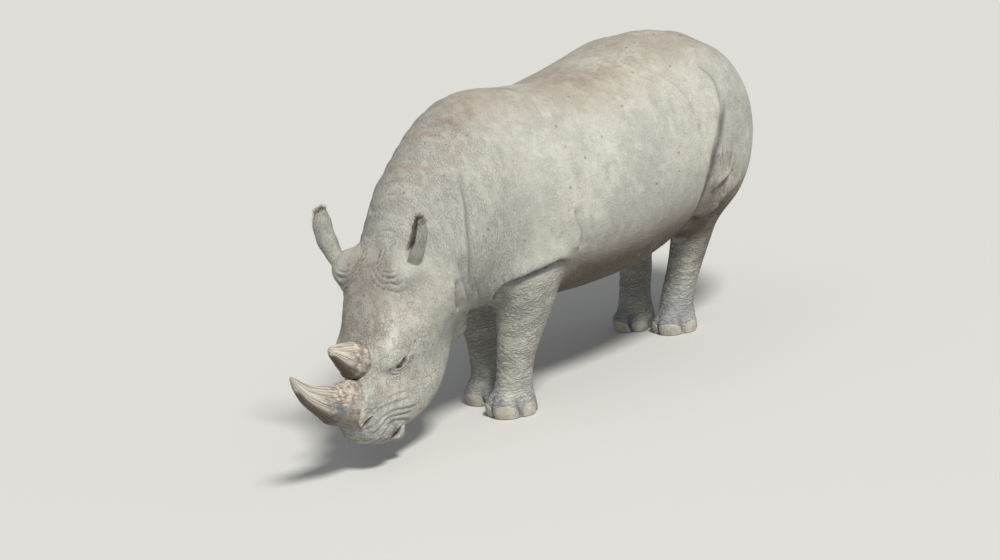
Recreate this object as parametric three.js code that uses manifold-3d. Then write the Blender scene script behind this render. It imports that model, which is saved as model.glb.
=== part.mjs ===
// A southern white rhinoceros standing with its head lowered to drink, life size, as a still museum model.
// Millimetres, +Z up, the animal faces -Y and its left side is +X; the soles stand on z = 0.
// The body is one blended surface, worked out from sections carried along paths, and it is parted with
// thin flat cuts into head, neck, trunk and legs. Horns, eyes, ears, nails and tail are set on it.
import * as THREE from "three";
import { mergeVertices } from "three/addons/utils/BufferGeometryUtils.js";
import Module from "manifold-3d";

const wasm = await Module();
wasm.setup();

// ---------------------------------------------------------------- driving sizes
const FRONT_FEET_Y = -368.7; // the line that the body's rows are counted from, midway between the fore feet
const ORIGIN = [0, FRONT_FEET_Y, 0];
const GAP = 0.4; // left between pieces that meet
const BODY_BLEND = 90; // width over which head and legs run into the trunk
const RUMP_BLEND = 180;
const DEWLAP_BLEND = 60;
const TOE_BLEND = 26;

// Rows along the back: y, centre height, half width, rise, drop, squareness.
const TRUNK_ROWS = [
  [-660, 700, 240, 200, 250, 2.0],
  [-530, 830, 295, 270, 310, 2.0],
  [-360, 970, 345, 375, 440, 2.0],
  [-150, 1080, 390, 480, 560, 2.0],
  [80, 1120, 435, 600, 575, 2.0],
  [350, 1090, 490, 595, 560, 2.1],
  [650, 1050, 545, 590, 565, 2.1],
  [950, 1050, 580, 600, 580, 2.1],
  [1250, 1080, 585, 595, 570, 2.1],
  [1520, 1130, 500, 595, 520, 2.1],
  [1720, 1170, 400, 530, 420, 2.1],
  [1880, 1180, 300, 460, 330, 2.1],
];
const DEWLAP = { at: [35, -262, 590], radii: [85, 80, 110] };
const RUMP = { at: [265, 1700, 1110], radii: [245, 443, 484] };

// The head has its own frame: a runs forward from the lips, b is towards the brow, c is its left.
const HEAD_AT = [15, -971, 76];
const HEAD_DROP = 50.5; // degrees that the nose points below the level
const HEAD_TURN = 7; // degrees towards the animal's left
const HEAD_TILT = -2;
// Rows by distance behind the lips: top line, middle line, jaw line, half width, squareness.
const HEAD_ROWS = [
  [128, 240, 112, 8, 126, 2.6],
  [170, 286, 104, -45, 136, 2.6],
  [250, 320, 78, -120, 142, 2.6],
  [350, 348, 50, -200, 162, 2.7],
  [450, 365, 35, -258, 188, 2.8],
  [570, 395, 40, -270, 201, 2.8],
  [700, 430, 63, -245, 209, 2.7],
  [860, 460, 105, -185, 228, 2.6],
];
// Lumps on the skull, on both sides: [c, distance behind the lips, b], radii, blend width.
const HEAD_LUMPS = {
  upperLip: [[78, 100, 118], [62, 70, 80], 60],
  lowerLip: [[58, 136, -30], [62, 55, 62], 30],
  hornBoss: [[20, 190, 255], [84, 120, 62], 50],
  brow: [[138, 470, 266], [56, 95, 50], 80],
  earRoot: [[185, 890, 365], [90, 100, 85], 80],
};
const MOUTH = { at: [-55, 40, 0], radii: [150, 118, 7] }; // radii along c, a and b
const NOSTRIL = { at: [-76, 152, 116], radii: [22, 30, 17] };
// Each ear's foot and tip and the way that its hollow side faces, in a, b and c, and how far it bows along c.
const EARS = {
  left: { foot: [-890, 350, 205], tip: [-1088, 566, 352], bow: 8, opening: [0.28, 0.65, -0.68] },
  right: { foot: [-893, 385, -225], tip: [-1140, 560, -318], bow: -30, opening: [-0.25, -0.3, -0.8] },
};
const EAR_WIDTH = { foot: 28, swell: 25, taper: 62 };
const EYE_AT = [-435, 198];
const EYE_RADIUS = 24;

// Rows up a horn: a and b of the middle, half length along the face, half width, and the section's lean
// in degrees.
const HORN_FRONT = [
  [-185, 200, 154, 78, 24],
  [-172, 285, 150, 77, 20],
  [-138, 390, 136, 68, 14],
  [-103, 490, 94, 56, 8],
  [-84, 590, 66, 43, 0],
  [-80, 670, 50, 34, -8],
  [-92, 745, 32, 23, -16],
  [-108, 793, 12, 10, -20],
];
const HORN_REAR = [
  [-396, 290, 98, 76, 10],
  [-384, 350, 102, 76, 8],
  [-377, 415, 84, 62, 4],
  [-367, 480, 58, 44, 0],
  [-359, 535, 34, 27, 0],
  [-357, 565, 12, 10, 0],
];

// Rows down a leg: x, y, z of the middle, half width, half lengths to the rear and the front, squareness.
const FORE_ROWS = [
  [95, 60, 1150, 130, 230, 230, 2],
  [105, 90, 950, 150, 260, 200, 2],
  [108, 95, 780, 155, 268, 176, 2],
  [95, 88, 620, 147, 222, 142, 2],
  [60, 64, 450, 122, 150, 112, 2],
  [26, 40, 300, 104, 110, 96, 2],
  [10, 22, 170, 99, 100, 92, 2.1],
  [0, 12, 80, 117, 113, 110, 2.2],
  [0, 8, 20, 122, 118, 112, 2.3],
];
const HIND_ROWS = [
  [80, 260, 1250, 170, 340, 300, 2],
  [100, 240, 1050, 195, 370, 300, 2],
  [105, 200, 850, 195, 335, 262, 2],
  [97, 160, 690, 146, 222, 170, 2],
  [66, 146, 530, 112, 146, 100, 2],
  [28, 97, 350, 94, 110, 84, 2],
  [6, 36, 200, 90, 99, 86, 2],
  [0, 12, 80, 106, 104, 102, 2.2],
  [0, 8, 20, 110, 108, 105, 2.3],
];
// Each foot has three toes: the turn from straight ahead in degrees, distance out, half width, half length,
// half height.
const TOES = [
  [0, 86, 90, 57, 74],
  [64, 88, 55, 58, 66],
  [-64, 88, 55, 58, 66],
];
const FEET = {
  front_left: { x: 155, y: -13, turn: 20, size: 1, rows: FORE_ROWS, side: 1 },
  front_right: { x: -124, y: 130, turn: -10, size: 1, rows: FORE_ROWS, side: -1 },
  hind_left: { x: 137, y: 1472, turn: 18, size: 0.92, rows: HIND_ROWS, side: 1 },
  hind_right: { x: -147, y: 1457, turn: -12, size: 0.92, rows: HIND_ROWS, side: -1 },
};
const TOE_HEIGHT = 52;
const NAIL_HEIGHT = 48;
const NAIL = { wide: 0.7, deep: 17, tall: 38 }; // width as a share of the toe's
// Where each leg is parted from the trunk: heights at its inner and outer side, and y about the foot.
const LEG_TOPS = {
  front: { inner: 500, outer: 850, from: -170, to: 372 },
  hind: { inner: 600, outer: 900, from: -150, to: 1000 },
};

// Rows down the tail: drop below its root, radius across, radius fore and aft.
const TAIL_ROOT_Z = 1400;
const TAIL_ROWS = [
  [-20, 52, 46],
  [60, 50, 42],
  [180, 38, 33],
  [340, 30, 26],
  [500, 26, 22],
  [600, 27, 18],
  [680, 18, 11],
];

// ---------------------------------------------------------------- small vector helpers
const { sin, cos, abs, min, max, sqrt, hypot, PI } = Math;
const rad = (degrees) => (degrees * PI) / 180;
const mix = (a, b, t) => a + (b - a) * t;
const dot = (a, b) => a[0] * b[0] + a[1] * b[1] + a[2] * b[2];
const minus = (a, b) => [a[0] - b[0], a[1] - b[1], a[2] - b[2]];
const plus = (a, b, k = 1) => [a[0] + b[0] * k, a[1] + b[1] * k, a[2] + b[2] * k];
const cross = (a, b) => [a[1] * b[2] - a[2] * b[1], a[2] * b[0] - a[0] * b[2], a[0] * b[1] - a[1] * b[0]];
const unit = (a) => a.map((c) => c / hypot(...a));

// Smallest of two distances, rounded off over the width k where they meet.
function blend(a, b, k) {
  const h = max(k - abs(a - b), 0) / k;
  return min(a, b) - (h * h * k) / 4;
}

// Value of a smooth curve through equally spaced rows, at row number t.
function smoothRow(rows, t) {
  const i = min(Math.floor(t), rows.length - 2);
  const u = t - i;
  const row = (j) => rows[max(0, min(rows.length - 1, j))];
  const [p, q, r, s] = [row(i - 1), row(i), row(i + 1), row(i + 2)];
  return q.map((_, c) => {
    const m0 = (r[c] - p[c]) / 2;
    const m1 = (s[c] - q[c]) / 2;
    const d = r[c] - q[c];
    return q[c] + u * (m0 + u * (3 * d - 2 * m0 - m1 + u * (m0 + m1 - 2 * d)));
  });
}

// ---------------------------------------------------------------- bodies as distance functions
// A section carried along a path. Each station is [x, y, z, half width, height on the plus side, height on
// the minus side, squareness]. The plus side is up on a body that runs backwards, and the rear on a leg that
// runs down.
function sweep(stations, steps = 4) {
  const count = (stations.length - 1) * steps + 1;
  const rows = Array.from({ length: count }, (_, i) => smoothRow(stations, i / steps));
  const spots = rows.map((r, i) => {
    const before = rows[max(0, i - 1)];
    const after = rows[min(count - 1, i + 1)];
    const along = unit(minus(after, before));
    const side = unit(plus([1, 0, 0], along, -along[0]));
    return { at: r.slice(0, 3), along, side, plus: cross(side, along), size: r.slice(3) };
  });
  return (p) => {
    let best = Infinity;
    let found = 0;
    let share = 0;
    for (let i = 0; i < count - 1; i++) {
      const step = minus(spots[i + 1].at, spots[i].at);
      const t = max(0, min(1, dot(minus(p, spots[i].at), step) / dot(step, step)));
      const away = minus(p, plus(spots[i].at, step, t));
      const d = dot(away, away);
      if (d < best) [best, found, share] = [d, i, t];
    }
    const a = spots[found];
    const b = spots[found + 1];
    const of = (key, c) => mix(a[key][c], b[key][c], share);
    const away = [0, 1, 2].map((c) => p[c] - of("at", c));
    const across = [0, 1, 2].reduce((s, c) => s + away[c] * of("side", c), 0);
    const height = [0, 1, 2].reduce((s, c) => s + away[c] * of("plus", c), 0);
    const beyond = [0, 1, 2].reduce((s, c) => s + away[c] * of("along", c), 0);
    const [width, up, down, square] = [0, 1, 2, 3].map((c) => of("size", c));
    const tall = height > 0 ? up : down;
    const ring = (abs(across / width) ** square + abs(height / tall) ** square) ** (1 / square);
    const reach = hypot(ring, beyond / min(width, tall));
    const far = hypot(across, height, beyond);
    return reach > 1e-6 ? far * (1 - 1 / reach) : -min(width, tall);
  };
}

// An egg at a point, with radii along x, y and z.
function egg(at, radii) {
  return (p) => {
    const away = minus(p, at);
    const reach = hypot(...away.map((v, c) => v / radii[c]));
    return reach > 1e-6 ? hypot(...away) * (1 - 1 / reach) : -min(...radii);
  };
}
const mirrored = (f) => (p) => f([abs(p[0]), p[1], p[2]]);

// ---------------------------------------------------------------- trunk and neck
const spine = sweep(TRUNK_ROWS.map(([y, z, ...size]) => [0, y, z, ...size]));
const rump = mirrored(egg(RUMP.at, RUMP.radii));
const dewlap = mirrored(egg(DEWLAP.at, DEWLAP.radii));
const trunk = (p) => blend(blend(spine(p), rump(p), RUMP_BLEND), dewlap(p), DEWLAP_BLEND);

// ---------------------------------------------------------------- head, in its own frame
const headAxes = (() => {
  const turn = new THREE.Matrix4().makeRotationZ(rad(HEAD_TURN));
  const drop = new THREE.Matrix4().makeRotationX(rad(HEAD_DROP));
  const tilt = new THREE.Matrix4().makeRotationY(rad(HEAD_TILT));
  const m = turn.multiply(drop).multiply(tilt);
  const column = (x, y, z) => new THREE.Vector3(x, y, z).applyMatrix4(m).toArray();
  return { a: column(0, -1, 0), b: column(0, 0, 1), c: column(1, 0, 0) };
})();
const headPoint = (a, b, c) => plus(plus(plus(HEAD_AT, headAxes.a, a), headAxes.b, b), headAxes.c, c);
// In the head's frame x is its left, y its back and z its brow side, as in the animal's.
const inHead = (f) => (p) => {
  const d = minus(p, HEAD_AT);
  return f([dot(d, headAxes.c), -dot(d, headAxes.a), dot(d, headAxes.b)]);
};
const skull = sweep(
  HEAD_ROWS.map(([y, top, middle, jaw, width, square]) => {
    return [0, y, middle, width, top - middle, middle - jaw, square];
  }),
);
const lumps = Object.values(HEAD_LUMPS).map(([at, radii, width]) => [mirrored(egg(at, radii)), width]);
const head = inHead((p) => lumps.reduce((d, [lump, width]) => blend(d, lump(p), width), skull(p)));

// ---------------------------------------------------------------- legs
const turned = (x, y, degrees) => {
  const [c, s] = [cos(rad(degrees)), sin(rad(degrees))];
  return [x * c - y * s, x * s + y * c];
};
function limb({ x, y, turn, size, rows, side }) {
  const column = sweep(rows.map(([dx, dy, z, ...sizes]) => [x + dx * side, y + dy, z, ...sizes]));
  const toes = TOES.map(([angle, out, wide, long, tall]) => {
    const lobe = egg([0, 0, 0], [wide * size, long * size, tall * size]);
    const [cx, cy] = turned(0, -out * size, turn + angle);
    return (p) => lobe([...turned(p[0] - x - cx, p[1] - y - cy, -turn - angle), p[2] - TOE_HEIGHT * size]);
  });
  return (p) => toes.reduce((d, toe) => blend(d, toe(p), TOE_BLEND), column(p));
}
const LIMBS = Object.fromEntries(Object.entries(FEET).map(([name, foot]) => [name, limb(foot)]));

// ---------------------------------------------------------------- whole body
const bodyFoot = (limbs) => (p) => {
  const start = blend(trunk(p), head(p), BODY_BLEND);
  return limbs.reduce((d, leg) => blend(d, leg(p), BODY_BLEND), start);
};
const bodyWith = (limbs) => {
  const f = bodyFoot(limbs);
  return (p) => f(minus(p, ORIGIN));
};
const plainFoot = bodyFoot([]);
const body = bodyWith(Object.values(LIMBS));

// ---------------------------------------------------------------- meshing
// Marks from one value to another, about so far apart.
function marks(from, to, apart) {
  const n = Math.ceil((to - from) / apart);
  return Array.from({ length: n + 1 }, (_, i) => mix(from, to, i / n));
}

// The surface where f is zero, on a grid given by its marks along x, y and z, as two triangles for each
// crossed edge. Every corner is slid onto the surface, so a coarse grid still gives true positions.
function skinOf(f, grid) {
  const n = grid.map((line) => line.length);
  const at = (i) => i.map((k, c) => grid[c][k]);
  const id = (i) => (i[2] * n[1] + i[1]) * n[0] + i[0];
  const edge = (i) => i.some((k, c) => k === 0 || k === n[c] - 1);
  const each = (counts, act) => {
    for (let z = 0; z < counts[2]; z++)
      for (let y = 0; y < counts[1]; y++)
        for (let x = 0; x < counts[0]; x++) act([x, y, z]);
  };
  const value = new Float64Array(n[0] * n[1] * n[2]);
  each(n, (i) => (value[id(i)] = edge(i) ? max(f(at(i)), 20) : f(at(i))));
  const corners = [];
  const cells = [];
  const cornerOf = new Map();
  each(n.map((k) => k - 1), (i) => {
    const sum = [0, 0, 0];
    let hits = 0;
    for (let a = 0; a < 3; a++)
      for (const [u, v] of [[0, 0], [0, 1], [1, 0], [1, 1]]) {
        const from = [...i];
        from[(a + 1) % 3] += u;
        from[(a + 2) % 3] += v;
        const to = [...from];
        to[a] += 1;
        const [s, e] = [value[id(from)], value[id(to)]];
        if (s < 0 === e < 0) continue;
        const [p, q] = [at(from), at(to)];
        p.forEach((k, c) => (sum[c] += mix(k, q[c], s / (s - e))));
        hits++;
      }
    if (!hits) return;
    cornerOf.set(id(i), cells.length);
    cells.push(i);
    corners.push(...sum.map((s) => s / hits));
  });
  const faces = [];
  each(n, (i) => {
    for (let a = 0; a < 3; a++) {
      const [b, c] = [(a + 1) % 3, (a + 2) % 3];
      if (i[a] >= n[a] - 1 || !i[b] || !i[c]) continue;
      const to = [...i];
      to[a] += 1;
      const [s, e] = [value[id(i)], value[id(to)]];
      if (s < 0 === e < 0) continue;
      const ring = [[0, 0], [-1, 0], [-1, -1], [0, -1]].map(([u, v]) => {
        const k = [...i];
        k[b] += u;
        k[c] += v;
        return cornerOf.get(id(k));
      });
      const [p, q, r, t] = s < 0 ? ring : ring.reverse();
      faces.push(p, q, r, p, r, t);
    }
  });
  cells.forEach((cell, k) => {
    if (cell.some((v, c) => v === 0 || v >= n[c] - 2)) return;
    const step = min(...cell.map((v, c) => grid[c][v + 1] - grid[c][v])) / 3;
    let p = corners.slice(k * 3, k * 3 + 3);
    for (let round = 0; round < 2; round++) {
      const d = f(p);
      const slope = [0, 1, 2].map((c) => f(p.map((v, e) => v + (e === c))) - d);
      p = plus(p, slope, max(-step, min(step, -d / max(dot(slope, slope), 0.25))));
    }
    p.forEach((v, c) => (corners[k * 3 + c] = v));
  });
  return new wasm.Manifold(
    new wasm.Mesh({
      numProp: 3,
      vertProperties: new Float32Array(corners),
      triVerts: new Uint32Array(faces),
    }),
  );
}

// A three.js geometry as a solid, moved by a matrix if one is given.
function solid(geometry, matrix = new THREE.Matrix4()) {
  const g = geometry.clone().applyMatrix4(matrix);
  g.deleteAttribute("normal");
  g.deleteAttribute("uv");
  const merged = mergeVertices(g, 1e-3);
  return new wasm.Manifold(
    new wasm.Mesh({
      numProp: 3,
      vertProperties: merged.attributes.position.array,
      triVerts: new Uint32Array(merged.index.array),
    }),
  );
}
function geometryOf(made) {
  const m = made.getMesh();
  const v = new Float32Array(m.numVert * 3);
  for (let i = 0; i < m.numVert; i++) {
    const from = i * m.numProp;
    v.set(m.vertProperties.subarray(from, from + 3), i * 3);
  }
  return new THREE.BufferGeometry()
    .setAttribute("position", new THREE.BufferAttribute(v, 3))
    .setIndex(new THREE.BufferAttribute(m.triVerts, 1));
}

const rhinoceros = new THREE.Group();
const place = (name, made, colour = 0xb5b0a2) => {
  const material = new THREE.MeshStandardMaterial({ color: colour, roughness: 0.9 });
  const mesh = new THREE.Mesh(geometryOf(made), material);
  mesh.name = name;
  rhinoceros.add(mesh);
};

// ---------------------------------------------------------------- horns, in the head's frame
function horn(stations, rings, around) {
  const at = (u, v) => {
    const [a, b, long, wide, lean] = smoothRow(stations, min(u, 0.9999) * (stations.length - 1));
    const [x, c] = [long * cos(2 * PI * v), wide * sin(2 * PI * v)];
    return headPoint(a + x * cos(rad(lean)), b + x * sin(rad(lean)), c);
  };
  return lofted(at, rings, around);
}

// A closed tube of rings: at(u, v) gives a point, u from 0 to 1 along it and v round it, and both ends are
// capped.
function lofted(at, rings, around) {
  const points = [];
  const faces = [];
  for (let i = 0; i <= rings; i++)
    for (let j = 0; j < around; j++) points.push(...at(i / rings, j / around));
  for (const u of [0, 1]) {
    const ring = Array.from({ length: around }, (_, j) => at(u, j / around));
    points.push(...[0, 1, 2].map((c) => ring.reduce((s, q) => s + q[c], 0) / around));
  }
  const id = (i, j) => i * around + (j % around);
  const ends = [points.length / 3 - 2, points.length / 3 - 1];
  for (let j = 0; j < around; j++) {
    for (let i = 0; i < rings; i++)
      faces.push(id(i, j), id(i, j + 1), id(i + 1, j + 1), id(i, j), id(i + 1, j + 1), id(i + 1, j));
    faces.push(ends[0], id(0, j + 1), id(0, j), ends[1], id(rings, j), id(rings, j + 1));
  }
  const made = new THREE.BufferGeometry();
  made.setAttribute("position", new THREE.Float32BufferAttribute(points, 3));
  made.setIndex(faces);
  const result = solid(made);
  if (result.volume() > 0) return result;
  for (let k = 0; k < faces.length; k += 3) [faces[k], faces[k + 1]] = [faces[k + 1], faces[k]];
  made.setIndex(faces);
  return solid(made);
}
const moved = (made, by) => solid(geometryOf(made), new THREE.Matrix4().makeTranslation(...by));

// ---------------------------------------------------------------- ears, in the head's frame
// A leaf rolled round its own axis: a crescent section that is closed at the foot and opens towards the tip.
// With some room given it is the full round tube that the leaf lies in, larger all round by that room.
function ear([foot, tip, opening, bow], room = 0) {
  const axis = unit(minus(tip, foot));
  const face = unit(plus(opening, axis, -dot(opening, axis)));
  const side = cross(axis, face);
  const length = hypot(...minus(tip, foot)) + room;
  const at = (u, v) => {
    const { foot: narrow, swell, taper } = EAR_WIDTH;
    const wide = narrow + swell * sin(PI * min(1, 0.1 + 0.75 * u)) ** 0.8 - taper * max(0, u - 0.75) ** 1.3;
    const thick = 14 - 7 * u;
    const half = rad(mix(168, 112, min(1, u * 1.6)));
    const outer = v < 0.5;
    const turn = room ? 2 * PI * v : mix(-half, half, outer ? v * 2 : 2 - v * 2);
    const r = outer || room ? wide + room : wide - thick;
    const from = plus(plus(foot, axis, length * u), headAxes.c, 4 * bow * u * (1 - u));
    return plus(plus(from, face, -r * cos(turn)), side, r * sin(turn));
  };
  return lofted(at, 7, 18);
}

const HEAD_EARS = Object.fromEntries(
  Object.entries(EARS).map(([name, { foot, tip, opening, bow }]) => {
    return [name, [headPoint(...foot), headPoint(...tip), minus(headPoint(...opening), HEAD_AT), bow]];
  }),
);

// ---------------------------------------------------------------- the cuts
// A block with a flat outline in x and z, carried along y from one end to the other.
function block(outline, from, to) {
  const shape = new THREE.Shape(outline.map(([x, z]) => new THREE.Vector2(x, z)));
  const made = new THREE.ExtrudeGeometry(shape, { depth: to - from, bevelEnabled: false });
  return solid(made.rotateX(PI / 2).translate(0, to, 0));
}
function legBlock(name, grow) {
  const side = name.endsWith("left") ? 1 : -1;
  const { inner, outer, from, to } = LEG_TOPS[name.split("_")[0]];
  const edge = [
    [-400, -100],
    [-400, 430],
    [25, inner - 90],
    [25, inner],
    [500, outer],
    [900, outer],
    [900, -100],
  ];
  const outline = edge.map(([x, z]) => [side * (x - (x === 25 ? grow : 0)), z + (z > 0 ? grow : 0)]);
  const y = FEET[name].y + FRONT_FEET_Y;
  return block(outline, y + from - grow, y + to + grow);
}

// Everything on one side of a plane, as a block whose face is set off from the plane by some gap.
function beyond(point, normal, gap = GAP / 2) {
  const turn = new THREE.Quaternion();
  turn.setFromUnitVectors(new THREE.Vector3(0, 0, 1), new THREE.Vector3(...normal));
  const made = new THREE.BoxGeometry(6000, 6000, 6000).translate(0, 0, 3000 + gap);
  return solid(made.applyQuaternion(turn).translate(...plus(point, ORIGIN)));
}
const negative = (v) => v.map((c) => -c);
const HEAD_CUT = [headPoint(-900, 85, 0), unit(plus(negative(HEAD_AT), headPoint(96, 26, 0)))];
const NECK_CUT = [[0, -180, 1100], unit([0, -100, 10])];

// Where a line from a point, going one way, first meets the surface.
function landing(f, from, way) {
  let p = from;
  for (let k = 0; k < 200 && f(p) > 0.2; k++) p = plus(p, way, max(f(p) * 0.6, 0.2));
  return p;
}
function ball(centre, radii, turnZ = 0, lean = 0) {
  const m = new THREE.Matrix4().makeTranslation(...centre);
  m.multiply(new THREE.Matrix4().makeRotationZ(rad(turnZ)));
  m.multiply(new THREE.Matrix4().makeRotationX(rad(lean)));
  m.multiply(new THREE.Matrix4().makeScale(...radii));
  return (grow = 1) => solid(new THREE.SphereGeometry(grow, 10, 5), m);
}

// ---------------------------------------------------------------- flesh
const plain = bodyWith([]);
const inFoot = (grid) => grid.map((line, c) => line.map((v) => v + ORIGIN[c]));
const headFrame = new THREE.Matrix4().makeBasis(
  ...[headAxes.c, negative(headAxes.a), headAxes.b].map((v) => new THREE.Vector3(...v)),
);
headFrame.setPosition(...plus(HEAD_AT, ORIGIN));
const fromHead = (q) => headPoint(-q[1], q[2], q[0]);
const headSkin = skinOf((q) => plainFoot(fromHead(q)), [
  marks(-330, 330, 50),
  marks(-70, 1230, 65),
  marks(-420, 620, 50),
]);
let headSolid = solid(geometryOf(headSkin), headFrame).intersect(beyond(...HEAD_CUT));
const neckSkin = skinOf(plain, inFoot([marks(-560, 560, 80), marks(-1000, 100, 96), marks(300, 1900, 90)]));
const hollow = ({ at, radii }, c, around, rings) => {
  const frame = headFrame.clone().setPosition(...plus(headPoint(at[0], at[1], c), ORIGIN));
  return solid(new THREE.SphereGeometry(1, around, rings).scale(...radii), frame);
};
headSolid = headSolid.subtract(hollow(MOUTH, 0, 16, 4));
for (const side of [1, -1]) headSolid = headSolid.subtract(hollow(NOSTRIL, side * NOSTRIL.at[2], 8, 4));
let neckSolid = neckSkin
  .intersect(beyond(HEAD_CUT[0], negative(HEAD_CUT[1])))
  .intersect(beyond(...NECK_CUT));
for (const shape of Object.values(HEAD_EARS)) {
  const socket = moved(ear(shape, 1), ORIGIN);
  neckSolid = neckSolid.subtract(socket);
  headSolid = headSolid.subtract(socket);
}
const trunkGrid = [marks(-720, 720, 112), marks(-800, 2400, 165), marks(340, 1900, 112)];
const trunkSkin = skinOf(body, inFoot(trunkGrid));
let trunkSolid = trunkSkin
  .intersect(beyond(NECK_CUT[0], negative(NECK_CUT[1])))
  .intersect(beyond(HEAD_CUT[0], negative(HEAD_CUT[1])));
const legSolids = {};
for (const [name, foot] of Object.entries(FEET)) {
  const across = foot.side > 0 ? marks(-150, 720, 62) : marks(-720, 150, 62);
  const along = name.startsWith("front") ? marks(foot.y - 400, foot.y + 500, 62) : marks(1150, 2360, 68);
  const up = [...marks(-90, 150, 40), ...marks(240, 1200, 100)];
  const skin = skinOf(bodyWith([LIMBS[name]]), inFoot([across, along, up]));
  legSolids[name] = skin.intersect(legBlock(name, -GAP / 2)).intersect(beyond([0, 0, 0], [0, 0, 1], 0));
  trunkSolid = trunkSolid.subtract(legBlock(name, GAP / 2));
}

// ---------------------------------------------------------------- eyes, nails, horns, ears and tail
const eyes = {};
for (const [name, side] of [["left", 1], ["right", -1]]) {
  const way = minus(headPoint(0, 0, -side), HEAD_AT);
  const at = landing(plainFoot, headPoint(...EYE_AT, 320 * side), way);
  const eye = ball(plus(plus(at, way, EYE_RADIUS * 0.45), ORIGIN), [EYE_RADIUS, EYE_RADIUS, EYE_RADIUS]);
  headSolid = headSolid.subtract(eye(1 + GAP / EYE_RADIUS));
  eyes[name] = eye();
}
const nails = {};
for (const [name, foot] of Object.entries(FEET)) {
  const f = bodyFoot([LIMBS[name]]);
  TOES.forEach(([angle, , wide], i) => {
    const turn = foot.turn + angle;
    const out = [...turned(0, -1, turn), 0];
    const from = plus([foot.x, foot.y, NAIL_HEIGHT * foot.size], out, 320);
    const at = landing(f, from, negative(out));
    const radii = [wide * NAIL.wide * foot.size, NAIL.deep, NAIL.tall * foot.size];
    const nail = ball(plus(plus(at, out, -3), ORIGIN), radii, turn, -10);
    legSolids[name] = legSolids[name].subtract(nail(1 + GAP / 12));
    nails[`nail_${name}_${["middle", "outer", "inner"][foot.side > 0 ? i : [0, 2, 1][i]]}`] = nail();
  });
}
place("head", headSolid);
place("neck", neckSolid);
place("trunk", trunkSolid);
for (const [name, made] of Object.entries(legSolids)) place(`leg_${name}`, made);
for (const [name, made] of Object.entries(eyes)) place(`eye_${name}`, made, 0x1d1712);
for (const [name, made] of Object.entries(nails)) place(name, made, 0xcfc9b8);

const outward = (b) => minus(headPoint(0, b, 0), HEAD_AT);
for (const [name, rows] of [["horn_front", HORN_FRONT], ["horn_rear", HORN_REAR]]) {
  const made = moved(horn(rows, 9, 16), ORIGIN).subtract(headSolid);
  place(name, moved(made, outward(GAP * 1.5)), 0xa79c86);
}
for (const [name, shape] of Object.entries(HEAD_EARS)) place(`ear_${name}`, moved(ear(shape), ORIGIN));

// The tail hangs close behind the rump.
const tailPath = TAIL_ROWS.map(([drop, wide, deep]) => {
  const z = TAIL_ROOT_Z - drop;
  const skin = landing(bodyFoot(Object.values(LIMBS)), [0, 2700, z], [0, -1, 0])[1];
  return { z, skin, wide, deep };
});
const behind = tailPath.map(({ skin, deep }) => skin + deep + 10);
const furthest = max(...behind.slice(2));
const back = behind.map((y, i) => (i < 2 ? y - [90, 25][i] : max(y, furthest - 18 * (i - 2))));
const tailStations = tailPath.map(({ z, wide, deep }, i) => [0, back[i], z, wide, deep]);
const tail = lofted((u, v) => {
  const [x, y, z, wide, deep] = smoothRow(tailStations, min(u, 0.9999) * (tailStations.length - 1));
  return [x + wide * sin(2 * PI * v), y + deep * cos(2 * PI * v), z];
}, 12, 12);
place("tail", moved(moved(tail, ORIGIN).subtract(trunkSolid), [0, GAP * 2, 0]));
export default rhinoceros;
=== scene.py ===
"""A southern white rhinoceros standing with its head lowered to drink, life size, as a still museum model.

Metres, +Z up. The animal faces -Y and its left side is +X. The flesh is one blended surface, worked out from
sections carried along paths; folds, lids, lips and wrinkles are then pressed into its points.
"""

import bmesh
import bpy
import numpy as np
from mathutils import Matrix


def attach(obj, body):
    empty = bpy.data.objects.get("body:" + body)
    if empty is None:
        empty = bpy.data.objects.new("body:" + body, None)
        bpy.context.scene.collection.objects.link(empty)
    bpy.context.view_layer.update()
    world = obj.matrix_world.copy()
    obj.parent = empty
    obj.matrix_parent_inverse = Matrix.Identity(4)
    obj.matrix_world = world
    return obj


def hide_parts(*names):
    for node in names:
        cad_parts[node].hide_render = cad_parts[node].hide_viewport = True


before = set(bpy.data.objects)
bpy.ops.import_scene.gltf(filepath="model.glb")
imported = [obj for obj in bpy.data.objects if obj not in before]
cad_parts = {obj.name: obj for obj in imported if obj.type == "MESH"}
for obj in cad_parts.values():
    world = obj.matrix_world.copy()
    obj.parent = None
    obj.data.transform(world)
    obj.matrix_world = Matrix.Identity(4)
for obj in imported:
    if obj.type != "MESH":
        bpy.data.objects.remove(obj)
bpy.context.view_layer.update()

# ------------------------------------------------------------------ driving sizes
FEET_LINE = -0.3687  # y of the line that the body's rows are counted from
START = np.array([0.0, FEET_LINE, 0.0])
UP = np.array([0, 0, 1.0])
VOXEL = 0.0248  # the skin's first grid; it is made finer in three rounds
# How near to things the net is made finer: all folds first, then narrow ones, the ears' feet and the eyes.
NEAR = {"fold": 0.045, "narrow_fold": 0.020, "ear": 0.115, "eye": 0.075, "lids": 0.042, "mouth": 0.020}
NARROW = 0.0125  # folds of less width than this are narrow
BODY_BLEND = 0.09
RUMP_BLEND = 0.18
DEWLAP_BLEND = 0.06
TOE_BLEND = 0.026

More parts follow.
